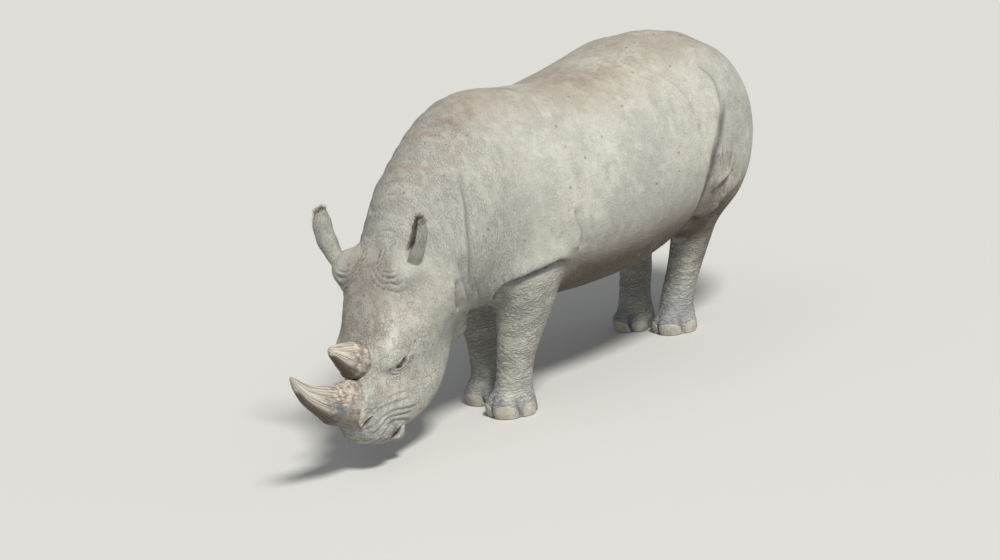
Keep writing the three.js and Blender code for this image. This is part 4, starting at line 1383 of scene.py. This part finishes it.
def beside_horn(rows, a, b, c):
    """Distance from points of the head to a horn's side in its nearest section, and how far off that lies."""
    table = even_rows(rows[:4], 40)
    nearest = np.full(len(a), np.inf)
    found = np.zeros(len(a))
    for a0, b0, long, wide, lean in table:
        lean = np.radians(lean)
        off = np.abs((b - b0) * np.cos(lean) - (a - a0) * np.sin(lean))
        x = (a - a0) * np.cos(lean) + (b - b0) * np.sin(lean)
        e = np.hypot(x / long, c / wide)
        d = np.hypot(x, c) * (1 - 1 / np.maximum(e, 0.2))
        nearer = off < nearest
        nearest[nearer] = off[nearer]
        found[nearer] = d[nearer]
    return found, nearest


def mouth_line(a):
    """Height b of the line where the lips meet, at a along the head."""
    return MOUTH["front_b"] - MOUTH["drop"] * rise(-0.02, -0.13, a) - MOUTH["sag"] * rise(-0.13, -0.19, a)


def carve(p, n, lines, eyes):
    """How far each point of the flesh moves along its normal and along other ways, and how much painted shade
    darkens it.
    """
    q = p - START
    a, b, c = to_head(p).T
    head_part = rise(-1.02, -0.86, a) * rise(-0.10, -0.30, q[:, 1])
    lift = np.zeros(len(p))
    painted_shade = np.zeros(len(p))

    # broad unevenness of muscle under the hide
    lift += 0.0035 * lattice_noise(q, 0.31, 1) + 0.0020 * lattice_noise(q, 0.13, 2)
    lift += 0.0012 * lattice_noise(q * [1, 1, 2.2], 0.060, 3) * rise(0.0, 1.0, head_part)

    # folds along their lines
    for path, width, depth, lip, spread, side, shade, back in lines:
        i = near_line(p, path, max(3.2 * width, 2.2 * abs(spread)))
        across, share = beside(p[i], n[i], path)
        across = across * side * np.sign(spread) + 0.4 * width * lattice_noise(q[i], 0.075, 31)
        taper = rise(0, 0.16, share) * rise(1, 0.84, share)
        flap = lip * bell(across, spread) * rise(-width, 0.3 * width, across)
        groove = bell(across + 0.8 * width, width)
        under = 0.40 * bell(across + 1.6 * width, 3.0 * width) * rise(0.3 * width, -width, across)
        lift[i] += taper * (flap - depth * (0.75 * groove + under))
        # painted shade: a band darkest back widths behind the fold's line, where the fold's shadow would fall
        deep = bell(across + back * width, 0.8 * width)
        painted_shade[i] = np.maximum(painted_shade[i], taper * deep * shade * min(1.0, depth / 0.011))

    # rings of slack skin round each temple, open on the ear's side
    for side in (1, -1):
        x, y = a - TEMPLE["a"], c * side - TEMPLE["c"]
        r = np.hypot(0.82 * x, y) + 0.005 * lattice_noise(q, 0.045, 5)
        open_side = rise(-0.30, 0.20, (0.35 * x - 0.94 * y) / np.maximum(np.hypot(x, y), 1e-6))
        band = rise(0.066, 0.084, r) * rise(0.180, 0.140, r) * rise(-0.085, -0.020, x)
        band = band * open_side * (b > 0.25) * rise(0.015, 0.055, c * side)
        wave = np.cos(2 * np.pi * r / TEMPLE["pitch"])
        lift += TEMPLE["high"] * band * wave
        # painted shade in the troughs between the rings
        painted_shade = np.maximum(painted_shade, 0.85 * band * rise(-0.35, -1.0, wave))

    # collars of skin round the feet of the horns
    for rows in (HORN_FRONT, HORN_REAR):
        d, off = beside_horn(rows, a, b, c)
        over = rise(0.050, 0.020, off)
        d = d + 0.005 * lattice_noise(q, 0.04, 11)
        for at, high, wide in COLLAR_ROLLS:
            lift += over * high * bell(d - at, wide)
        # painted shade along the grooves round the horn's foot
        for at, dark, wide in COLLAR_GROOVES:
            painted_shade = np.maximum(painted_shade, over * dark * bell(d - at, wide))

    # lips: a slit along the mouth line, with a roll on both sides of it
    s = b - mouth_line(a)
    front = rise(MOUTH["corner"] - 0.015, MOUTH["corner"] + 0.02, a) * head_part
    half = MOUTH["half"] + MOUTH["open"] * rise(-0.060, -0.100, a) * rise(-0.185, -0.145, a)
    lift -= front * MOUTH["depth"] * bell(s, half)
    for side in (1, -1):
        lift += front * LIP_ROLL["high"] * bell(s - side * LIP_ROLL["out"], LIP_ROLL["wide"])
    # painted shade in the slit between the lips
    painted_shade = np.maximum(painted_shade, front * bell(s, 1.05 * half))
    # upright creases across both lips
    crease = np.sin(2 * np.pi * (a / LIP_CREASES["pitch"] + 0.6 * lattice_noise(q, 0.05, 7)))
    lips = front * rise(0.055, 0.02, np.abs(s))
    lift += LIP_CREASES["high"] * lips * crease
    # painted shade in the troughs of the lip creases
    painted_shade = np.maximum(painted_shade, 0.35 * lips * rise(-0.2, -1, crease))

    # nostrils: comma shaped pockets with a raised rim
    move = np.zeros((len(p), 3))
    for side in (1, -1):
        da, db = a - NOSTRIL["at"][0], b - NOSTRIL["at"][1]
        turn = np.radians(NOSTRIL["turn"])
        x, y = da * np.cos(turn) + db * np.sin(turn), db * np.cos(turn) - da * np.sin(turn)
        y = y + NOSTRIL["bend"] * x * x
        e = np.hypot(x / NOSTRIL["long"], y / NOSTRIL["high"])
        mine = (c * side > 0.03) * 1.0
        pocket = mine * rise(1.05, 0.35, e)
        move -= (NOSTRIL["depth"] * pocket)[:, None] * side * HEAD_AXES[:, 2]
        lift += mine * NOSTRIL["rim"] * bell(e - 1.30, 0.25)
        # painted shade inside the nostril
        painted_shade = np.maximum(painted_shade, mine * rise(1.1, 0.6, e))

    # eyes: lids that follow the ball, a slit between them, and slack rings below
    for centre, along, up, out in eyes:
        i = np.flatnonzero(around(p, centre, 0.14))
        d = p[i] - centre
        x, y, z = d @ along, d @ up, d @ out
        r = np.hypot(x, y)
        ball = EYE_RADIUS + EYE_SLIT["lid"]
        dome = np.sqrt(np.maximum(ball**2 - r * r, 0))
        over = np.maximum(dome - z, 0) * rise(ball * 1.02, ball * 0.80, r)
        half = EYE_SLIT["high"] * np.maximum(1 - (x / EYE_SLIT["long"]) ** 2, 0) ** 0.75
        middle = -0.0030 * (1 - (x / EYE_SLIT["long"]) ** 2)
        gap = np.abs(y - middle) - half
        inside = rise(0.0012, -0.0018, gap) * (np.abs(x) < EYE_SLIT["long"])
        edge = bell(gap - LID_EDGE["out"], LID_EDGE["wide"]) * (np.abs(x) < EYE_SLIT["long"] + 0.004)
        height = over + LID_EDGE["high"] * edge
        height -= inside * (over + 0.010)
        corner = rise(EYE_SLIT["long"] + 0.026, EYE_SLIT["long"] - 0.004, np.abs(x)) * (1 - inside)
        corner *= bell(y - CORNER_LINE["slope"] * (np.abs(x) - EYE_SLIT["long"]), CORNER_LINE["wide"])
        height -= CORNER_LINE["deep"] * corner * (np.abs(x) > EYE_SLIT["long"] - 0.006)
        brow = bell(y - EYE_BROW["up"], EYE_BROW["wide"]) * rise(0.052, 0.020, np.abs(x))
        height += EYE_BROW["high"] * brow
        top_crease = bell(y - LID_CREASE["up"] + LID_CREASE["bend"] * x * x, LID_CREASE["wide"])
        top_crease *= rise(0.046, 0.020, np.abs(x - 0.006))
        height -= LID_CREASE["deep"] * top_crease
        ring = np.hypot(x / 1.45, y) + 0.0018 * lattice_noise(p[i], 0.02, 9)
        below = rise(0.000, -0.014, y) * rise(0.020, 0.027, ring) * rise(0.074, 0.052, ring)
        wave = np.cos(2 * np.pi * (ring - EYE_BAGS["first"]) / EYE_BAGS["pitch"])
        height += EYE_BAGS["high"] * below * wave
        folds_out = rise(0.060, 0.035, r)
        lift[i] *= 1 - 0.7 * folds_out
        move[i] += height[:, None] * out
        # painted shade in the eye's slit, along its corner lines and the crease over the lid, and in the
        # troughs of the rings below
        dark = np.maximum.reduce([inside, 0.9 * corner, 0.55 * top_crease, 0.85 * below * rise(-0.1, -1, wave)])
        painted_shade[i] = np.maximum(painted_shade[i] * (1 - folds_out), dark)

    return lift[:, None] * n + move, np.clip(painted_shade, 0, 1)


def dress_skin(skin, lines, eyes):
    """Presses the folds into the skin and writes down what its material reads at each point."""
    mesh = skin.data
    p = read_points(mesh)
    d, g = slope(flesh, p)
    n = unit(g)
    on_flesh = rise(0.016, 0.003, np.abs(d))
    seam = np.zeros(len(p))
    for name in EARS:
        seam = np.maximum(seam, rise(0.085, 0.060, np.linalg.norm(p - ear_axis(name)[0], axis=1)))
    seam = np.maximum(seam, rise(0.10, 0.06, np.linalg.norm(p - TAIL_SEAT, axis=1)))
    seam *= rise(0.030, 0.004, np.abs(d))
    p = smoothed(p, mesh_edges(mesh), 0.55 * seam, 6)
    move, painted_shade = carve(p, n, lines, eyes)
    q = p - START
    a, b, c = to_head(p).T
    face = rise(-1.02, -0.86, a) * rise(-0.30, -0.50, q[:, 1])
    body = 1 - face
    p = p + move * on_flesh[:, None]
    p[:, 2] = np.maximum(p[:, 2], 0)
    write_points(mesh, p)
    ear_part, hidden = np.zeros(len(p)), np.zeros(len(p))
    for name in EARS:
        foot, tip, _ = ear_axis(name)
        close = np.linalg.norm(p - (foot + tip) / 2, axis=1) < 0.24
        ear_part = np.maximum(ear_part, close * rise(0.004, 0.020, d))
    normals = np.empty(len(p) * 3)
    mesh.vertex_normals.foreach_get("vector", normals)
    normals = normals.reshape(-1, 3)
    for name in EARS:
        foot, tip, axis = ear_axis(name)
        away = p - foot
        off = np.linalg.norm(away - axis * (away @ axis)[:, None], axis=1)
        along = (away @ axis) / np.linalg.norm(tip - foot)
        inwards = -(unit(away - axis * (away @ axis)[:, None]) * normals).sum(1)
        hidden = np.maximum(hidden, ear_part * rise(0.0, 0.5, inwards) * (off < 0.08) * rise(1.1, 0.9, along))
    marks = {
        "painted_shade": painted_shade * on_flesh,
        "leg": body * rise(0.84, 0.66, q[:, 2]),
        "neck": body * rise(0.25, -0.15, q[:, 1]) * rise(0.45, 0.60, q[:, 2])
        + 0.4 * face * rise(-0.5, -0.8, a),
        "foot": body * rise(0.36, 0.10, q[:, 2]),
        "muzzle": face * rise(-0.34, -0.12, a),
        "crown": body * rise(0.55, 0.93, n[:, 2]) * rise(1.15, 1.45, q[:, 2])
        + 0.8 * face * rise(0.18, 0.10, np.abs(c)) * rise(-0.44, -0.53, a) * (b > 0.2),
        "belly": body * rise(0.15, -0.70, n[:, 2]) * rise(0.98, 0.62, q[:, 2]) * rise(0.30, 0.42, q[:, 2])
        * rise(0.15, 0.40, q[:, 1]),
        "ear": ear_part,
        "hollow": hidden,
        "face": face,
        "haunch": rise(1.1, 0.4, np.hypot((q[:, 1] - 1.56) / 0.27, (q[:, 2] - 0.90) / 0.26)) * (n[:, 2] > -0.6),
    }
    for name, values in marks.items():
        write_mark(mesh, name, values)
    mesh.polygons.foreach_set("use_smooth", np.ones(len(mesh.polygons), bool))
    mesh.update()


# ------------------------------------------------------------------ horns, eyes, nails and hair
def horn(name, rows, material, seed, rings=190, columns=144):
    """A horn: an oval read smoothly up its rows, with fibres up its length and growth rings round its foot."""
    table = even_rows(rows, rings)
    share = np.linspace(0, 1, rings)[:, None]
    turn = full_turn(columns)[None]
    a, b, long, wide, lean = (table[:, k : k + 1] for k in range(5))
    lean = np.radians(lean)
    x, c = long * np.cos(turn), wide * np.sin(turn)
    size = np.sqrt(long * wide)
    ring = np.stack([np.cos(turn) + 0 * share, np.sin(turn) + 0 * share, share + 0 * turn], axis=2)
    flat = ring.reshape(-1, 3)
    coarse = lattice_noise(flat * [9, 9, 4.0], 1.0, seed)
    coarse = coarse + 0.6 * lattice_noise(flat * [22, 22, 5.0], 1.0, seed + 1)
    fibres = coarse.reshape(rings, columns) * HORN_GRAIN
    growth = lattice_noise(flat * [1.2, 1.2, 26], 1.0, seed + 2).reshape(rings, columns)
    growth = growth * HORN_GRAIN * (1 - share)
    skirt = HORN_SKIRT * rise(0.42, 0.10, share) * (0.6 + 0.4 * np.sin(9 * turn + seed) * np.sin(4 * turn))
    grow = 1 + (fibres * rise(0, 0.05, 1 - share) + growth + skirt * 0.8) / np.maximum(size, 0.02)
    abc = np.stack([a + x * grow * np.cos(lean), b + x * grow * np.sin(lean), c * grow], axis=2)
    points, faces = capped_tube(from_head(abc))
    piece = new_piece(name, points, faces, material)
    ends = np.array([[0, 0, 0], [0, 0, 1.0]])
    flat = np.concatenate([flat, ends])
    write_mark(piece.data, "fibre", flat)
    write_mark(piece.data, "along", flat[:, 2])
    wet = rise(-0.55, 0.30, flat[:, 0]) * rise(0.20, 0.27, flat[:, 2]) * rise(0.56, 0.36, flat[:, 2])
    write_mark(piece.data, "wet", (0.95 if name == "horn_front" else 0.30) * wet)
    # under: the horn's underside, which the material darkens with painted shade and stain
    write_mark(piece.data, "under", flat[:, 0] * rise(1.0, 0.75, flat[:, 2]))
    write_mark(piece.data, "base", rise(HORN_HIDDEN[name] + 0.10, HORN_HIDDEN[name], flat[:, 2]))
    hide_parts(name)
    return piece


def eyeball(name, eye, material, rings=48, columns=64):
    """An eyeball: a ball whose front swells into a clear cap; angles are counted from the gaze."""
    centre, along, up, out = eye
    angle = np.linspace(0.02, np.pi - 0.02, rings)[:, None]
    turn = full_turn(columns)[None]
    radius = EYE_RADIUS + 0.0012 * bell(angle, 0.55)
    x, y, z = np.sin(angle) * np.cos(turn), np.sin(angle) * np.sin(turn), np.cos(angle) + 0 * turn
    directions = np.stack([x, y, z], axis=2) @ np.stack([along, up, out])
    points, faces = capped_tube((centre + radius[..., None] * directions)[::-1])
    piece = new_piece(name, points, faces, material)
    faced_out(piece.data)
    away = unit(read_points(piece.data) - centre)
    gaze = np.arccos(np.clip(away @ out, -1, 1))
    around_gaze = np.arctan2(away @ up, away @ along)
    write_mark(piece.data, "gaze", gaze)
    write_mark(piece.data, "fibre", np.stack([np.cos(around_gaze), np.sin(around_gaze), gaze], axis=1))
    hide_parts(name)
    return piece


def nail(name, foot_name, toe, material, rows=26, columns=28):
    """A toenail: a curved shield laid on the toe, thick below and thinning out into the cuticle above."""
    angle, reach, wide, *_ = toe
    foot, field = FEET[foot_name], LIMBS[foot_name]
    size = foot["size"]
    turned = rotation("z", foot["turn"] + angle)
    out, side = turned @ np.array([0, -1.0, 0]), turned @ np.array([1.0, 0, 0])
    middle = np.array([foot["x"], foot["y"], 0.0])
    v = np.linspace(0, 1, rows)[:, None]
    u = np.linspace(-1, 1, columns)[None]
    broad = NAIL["wide"] * wide * size
    x = u * broad * (1 - 0.10 * v)
    z = NAIL["low"] + v * NAIL["tall"] * size * np.sqrt(1 - NAIL["arch"] * u * u)
    base = reach * size * out
    spread = u * np.radians(NAIL["fan"])
    ways = -(out * np.cos(spread)[..., None] + side * np.sin(spread)[..., None])
    starts = middle + base + side * x[..., None] - 0.26 * ways + z[..., None] * UP
    starts, ways = starts.reshape(-1, 3), np.broadcast_to(ways, (rows, columns, 3)).reshape(-1, 3)
    landed = landing(field, starts, ways)
    normals = unit(slope(field, landed)[1])
    thick = NAIL["thick"] * (1 - 0.75 * v) * (1 - np.abs(u) ** 5) * np.minimum(1, 9 * (1 - v) + 0.05)
    thick = thick + NAIL["edge"] * rise(0.22, 0.0, v) * (1 - u**4)
    thick = thick.reshape(-1, 1)
    ripples = np.stack([9 * u + 0 * v, 3 * v + 0 * u, 0 * u * v], axis=2).reshape(-1, 3)
    wave = 0.0006 * lattice_noise(ripples, 1.0, 3)[:, None]
    outer = landed + normals * (thick + wave * (thick > 0.002))
    inner = landed - normals * NAIL["sunk"]
    outer, inner = (side_points.reshape(rows, columns, 3) for side_points in (outer, inner))
    grid = np.concatenate([outer, inner[:, ::-1]], axis=1) + START
    points, faces = capped_tube(grid)
    points[:, 2] = np.maximum(points[:, 2], 0.0005)
    piece = new_piece(name, points, faces, material)
    faced_out(piece.data)
    q = read_points(piece.data) - START - middle
    height = q[:, 2] / (NAIL["tall"] * size)
    write_mark(piece.data, "fibre", np.stack([(q @ side) / broad, 0 * height, height], axis=1))
    write_mark(piece.data, "rim", rise(0.10, 0.02, height))
    aside = np.abs(q @ side) / broad
    write_mark(piece.data, "margin", np.maximum(rise(0.62, 1.0, height), rise(0.66, 1.0, aside)))
    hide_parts(name)
    return piece


def tufts(name, roots, ways, lengths, radius, droop, spots, shade, material, sides=4, steps=6):
    """Coarse hairs: each a thin cone on a curve that sets out along its way and bends down with its length."""
    n = len(roots)
    t = np.linspace(0, 1, steps)[None, :, None]
    down = np.array([0, 0, -1.0])
    line = roots[:, None] + lengths[:, None, None] * (ways[:, None] * t + droop[:, None, None] * down * t * t)
    heading = unit(ways[:, None] + 2 * droop[:, None, None] * down * t)
    first = unit(np.cross(heading, [0.31, 0.84, 0.44]))
    second = np.cross(heading, first)
    turn = full_turn(sides)
    width = radius[:, None, None, None] * (1 - 0.88 * t[..., None] ** 1.5)
    ring = first[:, :, None] * np.cos(turn)[:, None] + second[:, :, None] * np.sin(turn)[:, None]
    points = (line[:, :, None] + width * ring).reshape(-1, 3)
    one = grid_faces(steps, sides)
    k = np.arange(sides)
    caps = np.stack([k[::-1], k[::-1] + (steps - 1) * sides])
    caps[1] = caps[1][::-1]
    one = np.concatenate([one, caps])
    faces = (one[None] + (np.arange(n) * steps * sides)[:, None, None]).reshape(-1, 4)
    piece = new_piece(name, points, faces, material)
    faced_out(piece.data)
    mesh = piece.data
    each = steps * sides
    write_mark(mesh, "tip", np.tile(np.repeat(np.linspace(0, 1, steps), sides), n))
    write_mark(mesh, "shade", np.repeat(shade, each))
    corner = np.empty(len(mesh.loops), int)
    mesh.loops.foreach_get("vertex_index", corner)
    patch = np.stack([np.tile(np.cos(turn), steps), np.repeat(np.linspace(-1, 1, steps), sides)], axis=1)
    patch *= PATCH_HALF
    uv = spots[corner // each] + patch[corner % each]
    mesh.uv_layers.new(name="OFBake").data.foreach_set("uv", uv.astype(np.float32).ravel())
    return piece


def ear_fringe(side_name, material, rng):
    """Hair along an ear's rim, longest round its tip."""
    grid = ear_grid(side_name)
    rows, columns = grid.shape[:2]
    foot, tip, axis = ear_axis(side_name)
    low = int(rows * 0.40)
    edge = [grid[low:, 0], grid[low:, columns // 2]]
    crown = grid[int(rows * 0.93) :, :].reshape(-1, 3)
    places = np.concatenate([edge[0], edge[1], crown])
    along = np.concatenate([np.linspace(0.4, 1, rows - low)] * 2 + [np.full(len(crown), 1.0)])
    n, on_rim = FRINGE["count"], FRINGE["on_rim"]
    rim = 2 * (rows - low)
    pick = np.concatenate([rng.integers(0, rim, on_rim), rng.integers(rim, len(places), n - on_rim)])
    roots = places[pick] + rng.normal(0, 0.0012, (n, 3))
    centre = foot + axis * ((roots - foot) @ axis)[:, None]
    outwards = unit(roots - centre) * 0.55 + axis * (0.55 + 0.5 * (along[pick] > 0.9))[:, None]
    ways = unit(outwards + rng.normal(0, 0.30, (n, 3)))
    lengths = mix(*FRINGE["long"], rise(0.4, 1.0, along[pick])) * rng.uniform(0.6, 1.25, n)
    up = ((roots - foot) @ axis) / np.linalg.norm(tip - foot)
    spots = np.clip(np.stack([0.05 + 0.9 * up, rng.uniform(0.05, 0.95, n)], axis=1), 0.01, 0.99)
    roots = roots - ways * ROOT_DEPTH["fringe"]
    thick, droop = rng.uniform(*FRINGE["thick"], n), rng.uniform(0.0, 0.25, n)
    shade = rng.uniform(0.0, 0.8, n)
    return tufts(f"ear_fringe_{side_name}", roots, ways, lengths, thick, droop, spots, shade, material)


def tail_tuft(material, rng):
    """Stiff hair down both edges of the tail's end."""
    grid = tail_grid()
    rows, columns = grid.shape[:2]
    n = TAIL_HAIR["count"]
    row = rng.integers(int(rows * 0.74), rows, n)
    side = rng.choice([columns // 4, 3 * columns // 4], n)
    column = (side + rng.integers(-3, 4, n)) % columns
    roots = grid[row, column]
    middle = grid[row].mean(axis=1)
    ways = unit(unit(roots - middle) * 0.45 + np.array([0, 0.05, -1.0]) + rng.normal(0, 0.12, (n, 3)))
    lengths = rng.uniform(*TAIL_HAIR["long"], n)
    spots = np.stack([0.03 + 0.94 * (row - row.min()) / (rows - row.min()), rng.uniform(0.03, 0.97, n)], axis=1)
    roots = roots - ways * ROOT_DEPTH["tail"]
    thick, droop = rng.uniform(*TAIL_HAIR["thick"], n), rng.uniform(0.0, 0.2, n)
    shade = rng.uniform(0.0, 0.25, n)
    return tufts("tail_tuft", roots, ways, lengths, thick, droop, spots, shade, material)


def lashes(name, eye, material, rng):
    """A row of lashes along the upper lid."""
    centre, along, up, out = eye
    n, low, high = LASHES["count"], LASHES["from"], LASHES["to"]
    x = rng.uniform(low, high, n)
    y = EYE_SLIT["high"] * (1 - (x / EYE_SLIT["long"]) ** 2) ** 0.75 + 0.001
    z = np.sqrt(np.maximum((EYE_RADIUS + EYE_SLIT["lid"]) ** 2 - x * x - y * y, 0))
    roots = centre + x[:, None] * along + y[:, None] * up + z[:, None] * out
    ways = unit(out + 0.25 * up + (x / 0.05)[:, None] * along + rng.normal(0, 0.12, (n, 3)))
    spots = np.stack([0.05 + 0.9 * (x - low) / (high - low), rng.uniform(0.1, 0.9, n)], axis=1)
    roots = roots - ways * ROOT_DEPTH["lashes"]
    lengths, thick = rng.uniform(*LASHES["long"], n), rng.uniform(*LASHES["thick"], n)
    shade = rng.uniform(0, 0.1, n)
    return tufts(name, roots, ways, lengths, thick, np.full(n, 0.45), spots, shade, material)


# ------------------------------------------------------------------ putting it together
make_camera()
make_studio()
eyes = {"left": eye_place(1), "right": eye_place(-1)}
lines = fold_lines()
skin = bare_skin(lines, list(eyes.values()))
dress_skin(skin, lines, list(eyes.values()))
skin.data.materials.clear()
skin.data.materials.append(hide_material())
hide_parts("head", "neck", "trunk", "ear_left", "ear_right", "tail", *[f"leg_{name}" for name in FEET])
horn_finish = horn_material()
horn("horn_front", HORN_FRONT, horn_finish, 11)
horn("horn_rear", HORN_REAR, horn_finish, 21)
eye_finish = eye_material()
for side_name, eye in eyes.items():
    eyeball(f"eye_{side_name}", eye, eye_finish)
nail_finish = nail_material()
for foot_name, foot in FEET.items():
    order = ("middle", "outer", "inner") if foot["side"] > 0 else ("middle", "inner", "outer")
    for toe, label in zip(TOES, order):
        nail(f"nail_{foot_name}_{label}", foot_name, toe, nail_finish)
hair_finish = hair_material()
rng = np.random.default_rng(7)
for side_name in EARS:
    ear_fringe(side_name, hair_finish, rng)
tail_tuft(hair_finish, rng)
for side_name, eye in eyes.items():
    lashes(f"lashes_{side_name}", eye, hair_finish, rng)
